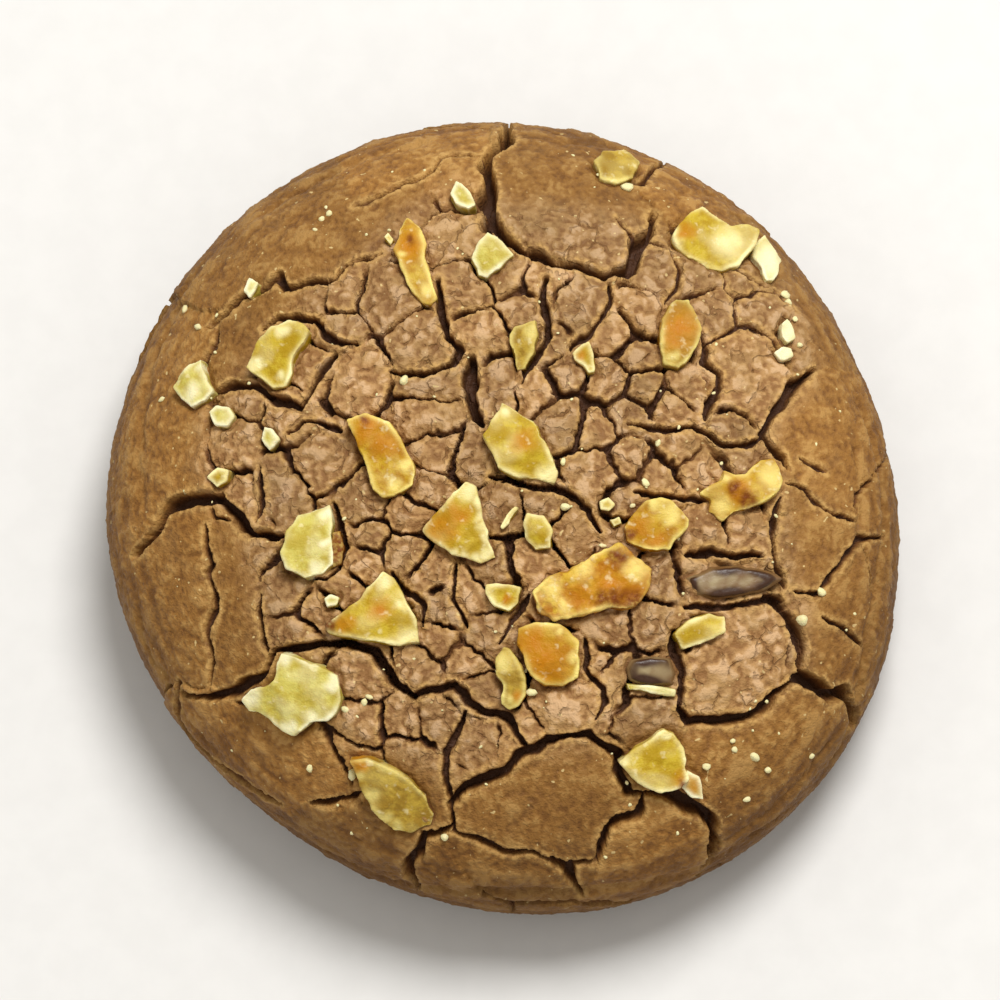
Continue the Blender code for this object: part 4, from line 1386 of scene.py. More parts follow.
PALE, YELLOW, GOLDEN, TOASTED, STAINED, CHIP = BitKind
WALNUT_BITS = (
    Bit(TOASTED, 1.4, ((2, -5.6), (3.4, -4.4), (5.4, -3.8), (6.8, -2.7), (7.8, -2.4), (8.7, -2.1), (9.8, -2.9),
        (11.1, -4), (10.9, -5.2), (10.3, -6.3), (9.2, -7), (7.8, -6.8), (6.4, -7.1), (5, -7.5), (3.6, -7.7),
        (2.5, -7)), toast=((7.8, -5, 1.7), (9.2, -5.6, 1.7), (5.8, -5.8, 1.3), (6.6, -7, 1)),
        skin=((7.3, -6.3, 0.8), (8.3, -6.3, 0.9), (9.4, -6.1, 0.9), (8.5, -3.1, 0.8)),
        cream_highlight=((6, -3.9, 0.9), (9.9, -3.8, 0.9), (3.5, -5.5, 1.1), (4.6, -6.7, 0.6))),
    Bit(PALE, 1.09, ((-17.2, -10.2), (-16.4, -10.3), (-15.1, -11), (-13.9, -11.4), (-13, -11.9), (-12.8, -12.9),
        (-12.7, -13.9), (-13.2, -14.8), (-13.8, -15.4), (-14.9, -15.5), (-15.5, -16), (-16.2, -16.5),
        (-17, -16.2), (-18, -15.2), (-18.9, -14.6), (-19.6, -14.5), (-20.2, -13.6), (-19.4, -12.9),
        (-18.2, -12.6), (-17.7, -12.2), (-17.6, -11)),
        cream_highlight=((-19.8, -13.7, 1.1), (-17, -10.6, 0.8), (-14.8, -15.2, 0.7), (-13.2, -12.4, 0.6), (-16.6, -16, 0.7))),
    Bit(STAINED, 0.86, ((-12, -18.3), (-10.6, -18.3), (-8.6, -19.2), (-7.2, -20.2), (-6.3, -21.3), (-5.7, -22.8),
        (-5.9, -23.6), (-7.3, -24), (-8.6, -23.9), (-9.6, -22.8), (-10.6, -21.4), (-11.3, -20)),
        toast=((-11.3, -18.6, 0.9),),
        cream_highlight=((-11.2, -19.6, 0.6), (-10.4, -21.2, 0.7), (-9.3, -22.9, 0.7), (-8.4, -23.8, 0.6), (-9.4, -19, 0.5))),
    Bit(YELLOW, 1.25, ((-9.4, -3.8), (-8.6, -4.2), (-7.8, -5.8), (-6.9, -7.4), (-6.6, -9.2), (-8.2, -9.4),
        (-11, -9.1), (-13.6, -8.6), (-13.9, -8), (-12.6, -7), (-11.2, -5.8), (-10.2, -4.6)),
        toast=((-9.6, -6.8, 1), (-12.4, -8, 0.9)), skin=((-13.6, -8, 0.7),),
        cream_highlight=((-9.2, -4.6, 0.7), (-7.4, -8.8, 0.9), (-8, -6.4, 0.6))),
    Bit(YELLOW, 1.05, ((13, 21.6), (13.4, 22.4), (14.2, 23.3), (15.1, 23.5), (16.4, 22.6), (17.4, 22),
        (18.6, 21.9), (19.4, 21.4), (19.2, 20.6), (18.1, 19.4), (17, 19.1), (15.9, 19.4), (14.8, 20), (13.7, 20.6)),
        toast=((13.9, 21.6, 0.8),), cream_highlight=((17.4, 21.2, 1.5),)),
    Bit(PALE, 0.7, ((19.2, 20.7), (19.9, 21.2), (20.7, 20.3), (21.4, 19.4), (21, 18.2), (20.5, 18.2), (20, 19.2),
        (19.3, 20)), cream_highlight=((20.4, 19.6, 2),)),
    Bit(GOLDEN, 1.01, ((16.8, 3.5), (17.7, 3.2), (18.4, 3.2), (19.6, 4.2), (20.6, 4.2), (21.3, 2.8), (20.8, 1.6),
        (20, 1), (18.6, 0.5), (17.6, 0.3), (16.7, -0.2), (15.7, 0.5), (15.9, 1.3), (15.1, 1.9), (16.6, 2.7)),
        toast=((17.9, 1.9, 1.2),), skin=((18.6, 1.2, 0.9), (17.4, 2.2, 0.6)),
        cream_highlight=((20.4, 3, 1.1), (16.6, 0.7, 0.9), (16.6, 2.9, 0.5))),
    Bit(YELLOW, 1.25, ((-3.1, 3), (-2.3, 2.5), (-1.7, 0), (-0.9, -2.9), (-2, -3.3), (-4.2, -2.6), (-6.5, -0.8),
        (-6.1, -0.2), (-4.6, 1.4)), toast=((-4.9, -0.5, 1.5), (-3.8, 0.4, 1.1)),
        cream_highlight=((-2.7, 2.4, 0.9), (-2.1, 1.3, 0.6), (-1.8, 0.4, 0.6), (-1.6, -0.5, 0.6), (-1.3, -1.4, 0.6),
            (-1.2, -2.4, 0.8), (-2.2, -3.1, 0.6), (-3.2, -2.8, 0.5), (-4.2, -2.4, 0.4))),
    Bit(GOLDEN, 0.94, ((-8.6, 20.9), (-8.1, 22.3), (-7.5, 23.2), (-6.6, 22.6), (-6.2, 21.2), (-6.3, 20.2),
        (-5.8, 18.8), (-5.3, 17.2), (-5.8, 16.7), (-6.4, 16.8), (-7.6, 18.2), (-8.1, 19.6)),
        toast=((-7.5, 21.4, 1.7),), skin=((-7.4, 21.8, 0.5),), cream_highlight=((-6, 17.4, 0.8), (-8.3, 20.6, 0.4))),
    Bit(GOLDEN, 1.09, ((-12.2, 7.8), (-10.6, 8.3), (-9, 7.6), (-7.8, 5.9), (-6.9, 3.9), (-7.2, 2.8), (-8.7, 2),
        (-9.5, 1.9), (-10.2, 2.6), (-11, 5)), toast=((-10.7, 7.2, 1.3), (-9.5, 6, 1.1)),
        skin=((-10.9, 7.7, 0.5),), cream_highlight=((-7.6, 4.2, 0.6), (-8.6, 2.6, 0.7))),
    Bit(YELLOW, 1.09, ((-16.6, 15.5), (-15.6, 15.2), (-15.1, 14.7), (-15.6, 13.8), (-16.4, 12.8), (-16.6, 11.6),
        (-17.1, 10.6), (-18, 10.4), (-18.9, 11.2), (-20.1, 12), (-19.6, 13), (-19.2, 14), (-18, 15)),
        cream_highlight=((-19.4, 12.2, 0.7), (-17.2, 14.9, 0.6), (-17.4, 11.2, 0.5))),
    Bit(YELLOW, 1.09, ((-0.2, 8.9), (1, 8.2), (2.1, 7.6), (3, 5.8), (4, 3.6), (3.6, 2.8), (2.2, 3),
        (0.9, 3.2), (-0.6, 3.9), (-0.9, 5), (-1.7, 6.4), (-1, 7.5)), toast=((1.3, 5.9, 1),),
        cream_highlight=((3.4, 3.3, 1), (-0.2, 8.3, 0.5))),
    Bit(PALE, 1.09, ((-14.4, 1.2), (-13.6, 1.4), (-13.4, -0.2), (-13.3, -3.2), (-14.1, -4), (-15.4, -4.3),
        (-16.9, -3.6), (-17.3, -2.4), (-16.8, -0.6), (-16, 0.6)),
        cream_highlight=((-13.8, 0.6, 0.7), (-14.6, -3.8, 0.8), (-13.8, -1.6, 0.5))),
    Bit(TOASTED, 0.62, ((-13.3, -0.8), (-12.8, -0.7), (-12.5, -1.9), (-12.7, -3.1), (-13.3, -3.3)),
        skin=((-12.9, -2, 2),)),
    Bit(GOLDEN, 1.33, ((0.8, -8.2), (2.2, -7.8), (4.3, -8.1), (5.5, -9.4), (5.6, -11), (5.4, -12.1), (4.4, -12.8),
        (2.9, -12.7), (1.8, -11.8), (1.3, -10.4), (0.9, -9.4)), toast=((3, -11, 2.3), (2, -9.4, 1.6)),
        cream_highlight=((5.2, -10.6, 0.5), (4, -8.5, 0.4))),
    Bit(YELLOW, 1.09, ((12.1, -16.4), (12.9, -16.8), (13.6, -18), (13.9, -19.4), (14, -20.3), (13.5, -21),
        (12.6, -21.2), (11.3, -21.1), (10.2, -20.4), (9, -19.2), (8.7, -18.8), (10, -17.8), (11.1, -17.1)),
        toast=((13.6, -20.6, 1),), skin=((13.6, -20.8, 0.6),), cream_highlight=((9.2, -18.9, 0.5), (12.4, -16.8, 0.4))),
    Bit(PALE, 0.7, ((13.9, -19.7), (14.9, -20.1), (15.1, -20.9), (15.2, -21.9), (14.3, -21.7), (13.5, -21)),
        toast=((14.4, -21, 1.2),)),
    Bit(STAINED, 1.09, ((13.1, 16.7), (14.1, 16.5), (14.6, 15.4), (15.1, 14.3), (14.8, 13.2), (14.3, 12.2),
        (13.3, 11.5), (12.3, 11.9), (12, 12.8), (12, 14), (12.1, 15.2), (12.6, 16.2)),
        toast=((13.4, 14.3, 2.4),), cream_highlight=((12.8, 12.2, 0.5),)),
    Bit(GOLDEN, 1.25, ((9.2, -0.7), (10, 0.6), (10.7, 1.2), (11.8, 1.4), (13.2, 0.8), (14.1, -0.3), (13.9, -1),
        (13, -1.7), (12.6, -2.6), (11.2, -2.6), (10, -2.3), (9.3, -1.8)),
        toast=((10.2, -0.9, 1.1), (11.4, -2, 0.9)), skin=((9.6, -1.4, 0.4),),
        cream_highlight=((12.7, 0.2, 1), (11.4, 1, 0.6))),
    Bit(STAINED, 1.01, ((-0.3, -9.6), (0.2, -9.7), (1.1, -11.2), (1.5, -12.2), (1.4, -13.4), (1, -14.2),
        (0.2, -14.5), (-0.4, -14.1), (-0.3, -12.6), (-0.9, -11.9), (-0.8, -10.5)), toast=((1.1, -13.6, 0.6),),
        cream_highlight=((-0.5, -10.9, 0.9), (0.2, -13.8, 0.4))),
    Bit(PALE, 0.55, ((21.3, 14.6), (21.8, 15), (22.3, 14.3), (22.5, 13.5), (21.9, 13.2), (21.4, 13.7)),
        cream_highlight=((21.9, 14.1, 1.4),)),
    Bit(PALE, 0.5, ((20.9, 12.5), (21.5, 13), (22.1, 12.8), (22.2, 12.1), (21.4, 11.8)), cream_highlight=((21.6, 12.4, 1.4),)),
    Bit(STAINED, 0.78, ((0.4, 14.2), (0.7, 14.7), (1.5, 14.9), (2.3, 15.2), (2.5, 14), (2.1, 12.8), (1.5, 11.6),
        (0.9, 11.4), (0.5, 12.6), (0.3, 13.6)), cream_highlight=((1.9, 14.4, 0.5),)),
    Bit(YELLOW, 0.78, ((12.8, -9), (13.9, -8.1), (15.6, -7.5), (16.8, -7.8), (16.7, -8.9), (15.8, -9.5),
        (14.4, -10), (13.5, -10.2))),
    Bit(PALE, 0.5, ((9.2, -12.7), (11, -12.9), (13, -13.4), (12.9, -13.8), (11, -13.5), (9.3, -13.2))),
    Bit(PALE, 0.94, ((-1.4, 22), (-0.6, 21.6), (0.7, 20.3), (-0.4, 19.5), (-1.4, 18.7), (-2.1, 19), (-2.6, 20.2),
        (-2.2, 21.1))),
    Bit(PALE, 0.86, ((-23.6, 12.9), (-23.4, 11.8), (-22.8, 10.4), (-23.4, 9.6), (-24.4, 9.1), (-25.2, 9.7),
        (-25.8, 10.6), (-25.2, 11.6), (-24.4, 12.3)), cream_highlight=((-24.2, 10.2, 0.9), (-23.6, 12.2, 0.5))),
    Bit(STAINED, 0.7, ((7, 27.6), (7.6, 28.3), (9.2, 28.2), (10.4, 27.4), (10, 26.4), (8.6, 26.1), (7.4, 26.4))),
    Bit(YELLOW, 0.78, ((5.1, 12.6), (5.9, 13.3), (6.5, 13.4), (6.8, 12.4), (6.9, 11.2), (6.4, 11), (6, 11.6),
        (5.3, 12)), toast=((5.6, 12.3, 0.6),)),
    Bit(YELLOW, 0.78, ((-1.6, -4.9), (0.2, -4.8), (1.1, -5.2), (0.9, -6.4), (0.1, -6.9), (-0.9, -6.5), (-1.6, -5.6)),
        toast=((0.2, -6, 0.5),)),
    Bit(YELLOW, 0.78, ((1.6, 0.4), (2.9, 0.2), (3.6, -0.9), (3.4, -2.3), (2.2, -2.3), (1.4, -1.6), (1.3, -0.4))),
    Bit(YELLOW, 0.55, ((-0.3, -0.8), (0.2, -0.3), (0.9, 0.8), (0.7, 1), (0.1, 0.3), (-0.4, -0.5))),
    Bit(PALE, 0.78, ((-4.2, 25.2), (-3.7, 26), (-3, 25.6), (-2.2, 24.4), (-2.9, 24.1), (-3.8, 24.4))),
    Bit(PALE, 0.7, ((-22.9, 8.6), (-22.3, 9.1), (-21.4, 9), (-21, 8.3), (-21.5, 7.5), (-22.4, 7.6))),
    Bit(YELLOW, 0.7, ((-23, 3.6), (-22.2, 4.3), (-21.4, 4.1), (-21.6, 3.3), (-22.3, 2.8))),
    Bit(PALE, 0.7, ((-18.6, 7.4), (-18, 7.2), (-17.5, 6.4), (-18.2, 5.6), (-18.9, 6.4))),
    Bit(PALE, 0.7, ((-20.2, 18), (-19.8, 18.9), (-19.1, 18.7), (-19.4, 18), (-19.9, 17.5))),
    Bit(PALE, 0.62, ((-14, -5.9), (-13.4, -5.6), (-12.7, -5.8), (-12.9, -6.4), (-13.7, -6.5))),
    Bit(YELLOW, 0.62, ((-9.5, 21.8), (-9, 22.2), (-8.5, 21.8), (-8.9, 21.3))),
    Bit(YELLOW, 0.62, ((7.2, 1.2), (7.9, 1.5), (8.4, 0.9), (8, 0.4), (7.3, 0.6))),
    Bit(YELLOW, 0.55, ((7.9, -0.2), (8.7, 0), (9, -0.5), (8.3, -0.9))),
)
CHIP_BITS = (
    Bit(CHIP, 0.7, ((13.6, -4.7), (15.6, -3.9), (18, -3.8), (20, -4.2), (21.3, -4.9), (20.4, -5.6), (18.5, -6.1),
        (16.5, -6.4), (14.6, -6.2), (13.8, -5.5)),
        cream_highlight=((14.8, -5.2, 0.8), (15.9, -5, 0.8), (17.2, -4.9, 0.7), (18.4, -4.9, 0.6), (19.6, -5, 0.5))),
    Bit(CHIP, 0.5, ((9.6, -10.9), (11, -10.7), (12.6, -10.9), (13.1, -12), (12.9, -13), (11, -12.9),
        (9.4, -12.5), (9.2, -11.5)), cream_highlight=((10.4, -11.6, 1), (11.8, -11.7, 1))),
)


@dataclass(frozen=True)
class Cut:
    """A kind of cut over a piece's top: how many, how steep in degrees, and how far out, as a share."""

    count: tuple[int, int]
    lean: Spot
    reach: Spot


@dataclass
class Carver:
    """Makes pieces that are pressed into the crust, from their outlines.

    A piece's top may be smaller than its foot, by top_share, and its root goes down into the crust. Lumps
    are broad, round and fine ones. A sharp ridge is pale as a broken edge is, with a painted highlight along it,
    and the edges' strength goes up and down along them.
    """

    form: CookieForm
    lean: float = 0.4
    root: float = 1.5
    grain_size: float = 0.115
    top_share: float = 1.0
    slope: float = 0.10
    run_length: float = 0.8
    run_change: float = 0.3
    raggedness: float = 0.10
    cuts: tuple[Cut, ...] = (
        Cut((1, 2), (8.0, 18.0), (0.0, 0.35)),
        Cut((1, 2), (14.0, 24.0), (0.6, 0.9)),
        Cut((0, 2), (30.0, 50.0), (0.90, 1.0)),
    )
    smoothing: int = 1
    lump_sizes: tuple[float, float, float] = (1.5, 0.9, 0.45)
    lump_heights: tuple[float, float, float] = (0.12, 0.07, 0.05)
    high_span: Spot = (-0.1, 0.5)
    patch_drift: Spot = (0.5, 1.1)
    patch_reach: Spot = (0.15, 1.45)
    side_slopes: Spot = (0.8, 0.4)
    side_levels: Spot = (0.75, 0.35)
    edge_levels: Spot = (0.4, 0.8)
    edge_width: float = 0.26
    edge_length: float = 2.4
    edge_strength: Spot = (0.65, 1.4)
    ridge_span: Spot = (0.005, 0.018)
    ridge_share: float = 0.8
    cream_highlight_share: float = 0.75

    def foot(self, bit: Bit) -> list[Spot]:
        """The places of the view where a piece meets the crust."""
        facing = self.form.facing(tuple(np.mean(bit.outline, axis=0)), self.lean)
        return self.form.under(bit.outline, bit.stand, facing)

    def carve(self, bit: Bit, draw: random.Random) -> bpy.types.Object:
        """Makes one piece, in its place on the cookie.

        Args:
            bit: The piece's outline, stand and patches.
            draw: Where its chance unevenness comes from.

        Returns:
            The piece, marked with its edges and patches, in metres.
        """
        normal = self.form.facing(tuple(np.mean(bit.outline, axis=0)), self.lean)
        spots = self.foot(bit)
        (centre,), _ = self.form.on_crust([tuple(np.mean(spots, axis=0))])
        to_right = np.array(self.form.view_axes()[0])
        to_right = to_right - normal * (to_right @ normal)
        to_right /= np.linalg.norm(to_right)
        to_up = np.cross(normal, to_right)
        rows, _ = self.form.on_crust(spots)
        outline = np.column_stack(((rows - centre) @ to_right, (rows - centre) @ to_up))
        outline = outline if self.turns_left(outline) else outline[::-1]
        piece = self.block(self.ragged(outline, draw), bit.stand, draw)
        self.roughen(piece, draw.uniform(0, 40), bit.kind.lumpiness)
        self.mark_faces(piece, bit, outline, tuple(np.mean(bit.outline, axis=0)))
        rest = Matrix((*zip(to_right, to_up, normal, centre), (0, 0, 0, 1)))
        piece.data.transform(Matrix.Scale(MM, 4) @ rest)
        return piece

    def ragged(self, outline: np.ndarray, draw: random.Random) -> np.ndarray:
        """Breaks an outline's straight edges into short, uneven runs.

        Args:
            outline: The outline's corners, as (x, y) rows.
            draw: Where the unevenness comes from.

        Returns:
            More corners, as (x, y) rows.
        """
        spots = []
        for start, end in zip(outline, np.roll(outline, -1, axis=0)):
            run = end - start
            side = np.array((-run[1], run[0])) / np.hypot(*run)
            parts = max(1, round(float(np.hypot(*run)) / self.run_length))
            for part in range(parts):
                along = (part + (draw.uniform(-self.run_change, self.run_change) if part else 0.0)) / parts
                spots.append(start + run * along + side * draw.uniform(-1, 1) * self.raggedness)
        return np.array(spots)

    def block(self, outline: np.ndarray, stand: float, draw: random.Random) -> bpy.types.Object:
        """Makes a block, its top broken into a few slanting faces.

        Args:
            outline: The outline of its foot, anticlockwise, as (x, y) rows.
            stand: How far its top lies above its foot.
            draw: Where its slant and its cuts come from.

        Returns:
            The block, in millimetres, with its foot at height 0.
        """
        deselect_all()
        bpy.ops.mesh.primitive_circle_add(vertices=len(outline), radius=1, fill_type="NGON")
        piece = bpy.context.object
        slope = np.array([draw.uniform(-1, 1), draw.uniform(-1, 1)]) * self.slope
        move_points(piece.data, np.column_stack((outline * self.top_share, stand + outline @ slope)))
        bpy.ops.object.mode_set(mode="EDIT")
        bpy.ops.mesh.select_all(action="SELECT")
        bpy.ops.mesh.extrude_region_move(TRANSFORM_OT_translate={"value": (0, 0, -stand)})
        grow = 1 / self.top_share
        bpy.ops.transform.resize(value=(grow, grow, 1), center_override=(0, 0, 0))
        bpy.ops.mesh.extrude_region_move(TRANSFORM_OT_translate={"value": (0, 0, -self.root)})
        reach = np.abs(outline).max(axis=0)
        for cut in self.cuts:
            for _ in range(draw.randint(*cut.count)):
                turn, lean = draw.uniform(0, 2 * math.pi), math.radians(draw.uniform(*cut.lean))
                facing = (math.cos(turn) * math.sin(lean), math.sin(turn) * math.sin(lean), math.cos(lean))
                out = draw.uniform(*cut.reach)
                place = (math.cos(turn) * reach[0] * out, math.sin(turn) * reach[1] * out, stand)
                bpy.ops.mesh.select_all(action="SELECT")
                bpy.ops.mesh.bisect(plane_co=place, plane_no=facing, use_fill=True, clear_outer=True)
        bpy.ops.mesh.select_all(action="SELECT")
        bpy.ops.mesh.normals_make_consistent(inside=False)
        bpy.ops.object.mode_set(mode="OBJECT")
        return piece

    @staticmethod
    def turns_left(outline: np.ndarray) -> bool:
        """Whether an outline runs anticlockwise."""
        x, y = outline.T
        return float(x @ np.roll(y, -1) - y @ np.roll(x, -1)) > 0

    def roughen(self, piece: bpy.types.Object, shift: float, lumpiness: float) -> None:
        """Turns a block's flat faces into the fine uneven ones of something broken or baked.

        Args:
            piece: The block, in millimetres.
            shift: Another number gives other lumps.
            lumpiness: The height of the lumps, as a share of the usual.
        """
        apply(piece, "REMESH", mode="VOXEL", voxel_size=self.grain_size)
        apply(piece, "SMOOTH", factor=0.5, iterations=self.smoothing)
        points, normals = mesh_points(piece.data), mesh_normals(piece.data)
        mark(piece.data, "ridge", smooth(*self.ridge_span, standing_out(piece.data)))
        broad, rounded, fine = self.lump_sizes
        lump = unevenness(points, broad, shift)
        lumps = self.lump_heights[0] * lump + self.lump_heights[1] * (PEBBLE_LEVEL - pebbles(points, rounded, shift))
        lumps += self.lump_heights[2] * unevenness(points, fine, shift)
        move_points(piece.data, points + normals * (lumps * lumpiness)[:, None])
        # The high mark: the broad lumps' tops, which get a painted highlight.
        mark(piece.data, "high", smooth(*self.high_span, lump))
        bpy.ops.object.shade_smooth()

    def mark_faces(self, piece: bpy.types.Object, bit: Bit, outline: np.ndarray, middle: Spot) -> None:
        """Marks a piece's steep sides for painted shade, its pale edges, and its toasted, skinned and highlight
        patches.

        Args:
            piece: The piece, in millimetres, with its foot at height 0.
            bit: The piece's stand and patches.
            outline: The outline of its foot, as (x, y) rows.
            middle: The place of the view where its middle shows.
        """
        points, normals = mesh_points(piece.data), mesh_normals(piece.data)
        away, _ = away_from_path(points[:, :2], outline * self.top_share, closed=True)
        level = points[:, 2] / bit.stand
        # The side mark: steep faces that the finish darkens as painted shade.
        mark(piece.data, "side", smooth(*self.side_slopes, normals[:, 2]) * smooth(*self.side_levels, level))
        amount, length = self.patch_drift
        ragged = points[:, :2] + amount * drift(points, length) + middle
        cover = {}
        # The highlight patches: painted highlights on walnut, and the chip's painted highlight band.
        for name, patches in (("toast", bit.toast), ("skin", bit.skin), ("cream_highlight", bit.cream_highlight)):
            cover[name] = np.zeros(len(points))
            for right, up, radius in patches:
                gap = np.linalg.norm(ragged - (right, up), axis=1)
                full, end = (share * radius for share in self.patch_reach)
                cover[name] = np.maximum(cover[name], 1 - smooth(full, end, gap))
            mark(piece.data, name, cover[name])
        # Pale broken edges and ridges, partly a painted highlight along them.
        edge = bell(away, self.edge_width) * smooth(*self.edge_levels, level)
        edge = np.maximum(edge, self.ridge_share * marks(piece.data, "ridge"))
        usual, change = self.edge_strength
        edge = np.clip(edge * (usual + change * unevenness(points, self.edge_length, 3.0)), 0, 1)
        if bit.kind is not CHIP:
            edge = np.maximum(edge, self.cream_highlight_share * cover["cream_highlight"])
        mark(piece.data, "edge", edge)


@dataclass
class WalnutTopping:
    """All the chopped walnut, one piece for each kind."""

    carver: Carver
    bits: tuple[Bit, ...] = WALNUT_BITS
    finishes: tuple[WalnutFinish, ...] = WALNUT_FINISHES

    def build(self) -> list[bpy.types.Object]:
        """Makes the walnut and gives it its finishes.

        Returns:
            One piece for each kind.
        """
        draw = random.Random(SEED)
        pieces = []
        for finish in self.finishes:
            carved = [self.carver.carve(bit, draw) for bit in self.bits if bit.kind is finish.kind]
            piece = join(carved, f"walnut_{finish.kind.value}")
            piece.data.materials.append(finish.material())
            pieces.append(piece)
        return pieces


@dataclass
class CocoaChips:
    """The two dark chips that lie in the crust."""

    carver: Carver
    bits: tuple[Bit, ...] = CHIP_BITS
    finish: ChipFinish = ChipFinish()

    def build(self) -> list[bpy.types.Object]:
        """Makes the chips and gives them their finish.

        Returns:
            One piece that holds both.
        """
        draw = random.Random(SEED)
        chips = join([self.carver.carve(bit, draw) for bit in self.bits], "cocoa_chips")
        chips.data.materials.append(self.finish.material())
        return [chips]


CREAM_DOTS: tuple[Patch, ...] = (
    (4.4, 4.2, 0.28), (4.6, 0.8, 0.32), (7.4, -2.2, 0.25), (22.7, -8.2, 0.5), (24.2, -6.1, 0.32), (10.7, 2.5, 0.28),
    (9.7, 0.8, 0.25), (-24.6, 2.5, 0.3), (9.5, 25.3, 0.42), (21.6, 16.8, 0.4), (21.9, 16.2, 0.28),
    (22.4, 14.9, 0.26), (22.7, 12.9, 0.24), (1.9, -13.2, 0.36), (-0.5, -11.6, 0.3), (-10.8, -13.9, 0.28),
    (-10.4, -13.5, 0.28), (-12.2, -14.5, 0.28), (-11.4, -15, 0.26), (-11.7, -19.5, 0.38), (19.1, -18.7, 0.4),
    (20.1, -19.7, 0.32), (18.5, -22, 0.28), (23.5, -18.7, 0.26), (17.4, -17.4, 0.26), (17.5, -18.1, 0.28),
    (15.4, -19.4, 0.28), (-13.6, 23.8, 0.28), (-14.2, 23.4, 0.24), (-14.7, 22.5, 0.24), (-23.8, 15.3, 0.34),
    (-24.9, 16.8, 0.28), (-26.6, 9.7, 0.24), (-4.7, -24.3, 0.32), (-15, -19, 0.26), (11.7, 5.6, 0.3),
    (-7.8, 10.8, 0.34),
)


@dataclass
class Crumbs:
    """Small crumbs of walnut: those that the photograph shows, and finer ones strewn between."""

    form: CookieForm
    strewn: int = 150
    strewn_sizes: Spot = (0.07, 0.17)
    reach: float = 28.5
    variety: int = 3
    lump_size: float = 0.9
    lump_height: float = 0.45
    shapes: tuple[Spot, ...] = ((0.8, 1.3), (0.7, 1.0), (0.6, 0.9))
    lift: float = 0.4
    paleness: float = 0.6
    finish: WalnutFinish = WALNUT_FINISHES[0]

    def build(self) -> list[bpy.types.Object]:
        """Makes the crumbs and gives them their finish.

        Returns:
            One piece that holds them all.
        """
        draw = random.Random(SEED)
        dots = list(CREAM_DOTS)
        while len(dots) < len(CREAM_DOTS) + self.strewn:
            right, up = draw.uniform(-1, 1) * self.reach, draw.uniform(-1, 1) * self.reach
            if math.hypot(right, up) < self.reach:
                dots.append((right, up, draw.uniform(*self.strewn_sizes)))
        patterns = [self.pattern(draw) for _ in range(self.variety)]
        crumbs = [self.place(draw.choice(patterns), dot, draw) for dot in dots]
        for pattern in patterns:
            bpy.data.objects.remove(pattern)
        piece = join(crumbs, "walnut_crumbs")
        bpy.ops.object.shade_smooth()
        for name, value in (("edge", self.paleness), ("side", 0.0), ("high", 0.0), ("toast", 0.0), ("skin", 0.0)):
            mark(piece.data, name, np.full(len(piece.data.vertices), value))
        piece.data.materials.append(self.finish.material())
        return [piece]

    def pattern(self, draw: random.Random) -> bpy.types.Object:
        """A crumb of unit radius, to be copied.

        Args:
            draw: Where its unevenness comes from.

        Returns:
            The crumb, with its middle at the origin.
        """
        deselect_all()
        bpy.ops.mesh.primitive_ico_sphere_add(subdivisions=2, radius=1)
        crumb = bpy.context.object
        points = mesh_points(crumb.data)
        size = 1 + self.lump_height * unevenness(points, self.lump_size, draw.uniform(0, 40))
        move_points(crumb.data, points * size[:, None])
        return crumb

    def place(self, pattern: bpy.types.Object, dot: Patch, draw: random.Random) -> bpy.types.Object:
        """A copy of a crumb on the crust, turned and squashed at random.

        Args:
            pattern: The crumb of unit radius.
            dot: The place of the view where it shows, and its radius.
            draw: Where its turn and shape come from.

        Returns:
            The copy, in metres.
        """
        crumb = pattern.copy()
        crumb.data = pattern.data.copy()
        bpy.context.scene.collection.objects.link(crumb)
        (point,), (normal,) = self.form.on_crust([dot[:2]])
        shape = Matrix.Diagonal((*(draw.uniform(*span) for span in self.shapes), 1))
        turn = Matrix.Rotation(draw.uniform(0, 2 * math.pi), 4, "Z")
        upright = Vector((0, 0, 1)).rotation_difference(Vector(normal)).to_matrix().to_4x4()
        lift = Matrix.Translation(Vector(point) + Vector(normal) * dot[2] * self.lift)
        crumb.data.transform(Matrix.Scale(MM, 4) @ lift @ upright @ turn @ Matrix.Scale(dot[2], 4) @ shape)
        return crumb


class CrustZone(Enum):
    """The parts that the crust is kept in, from its middle outwards and round to its base."""

    MIDDLE = "crust_middle"
    CROWN = "crust_crown"
    SHOULDER = "crust_shoulder"
    RIM = "crust_rim"
    FOOT = "crust_foot"
    BASE = "crust_base"


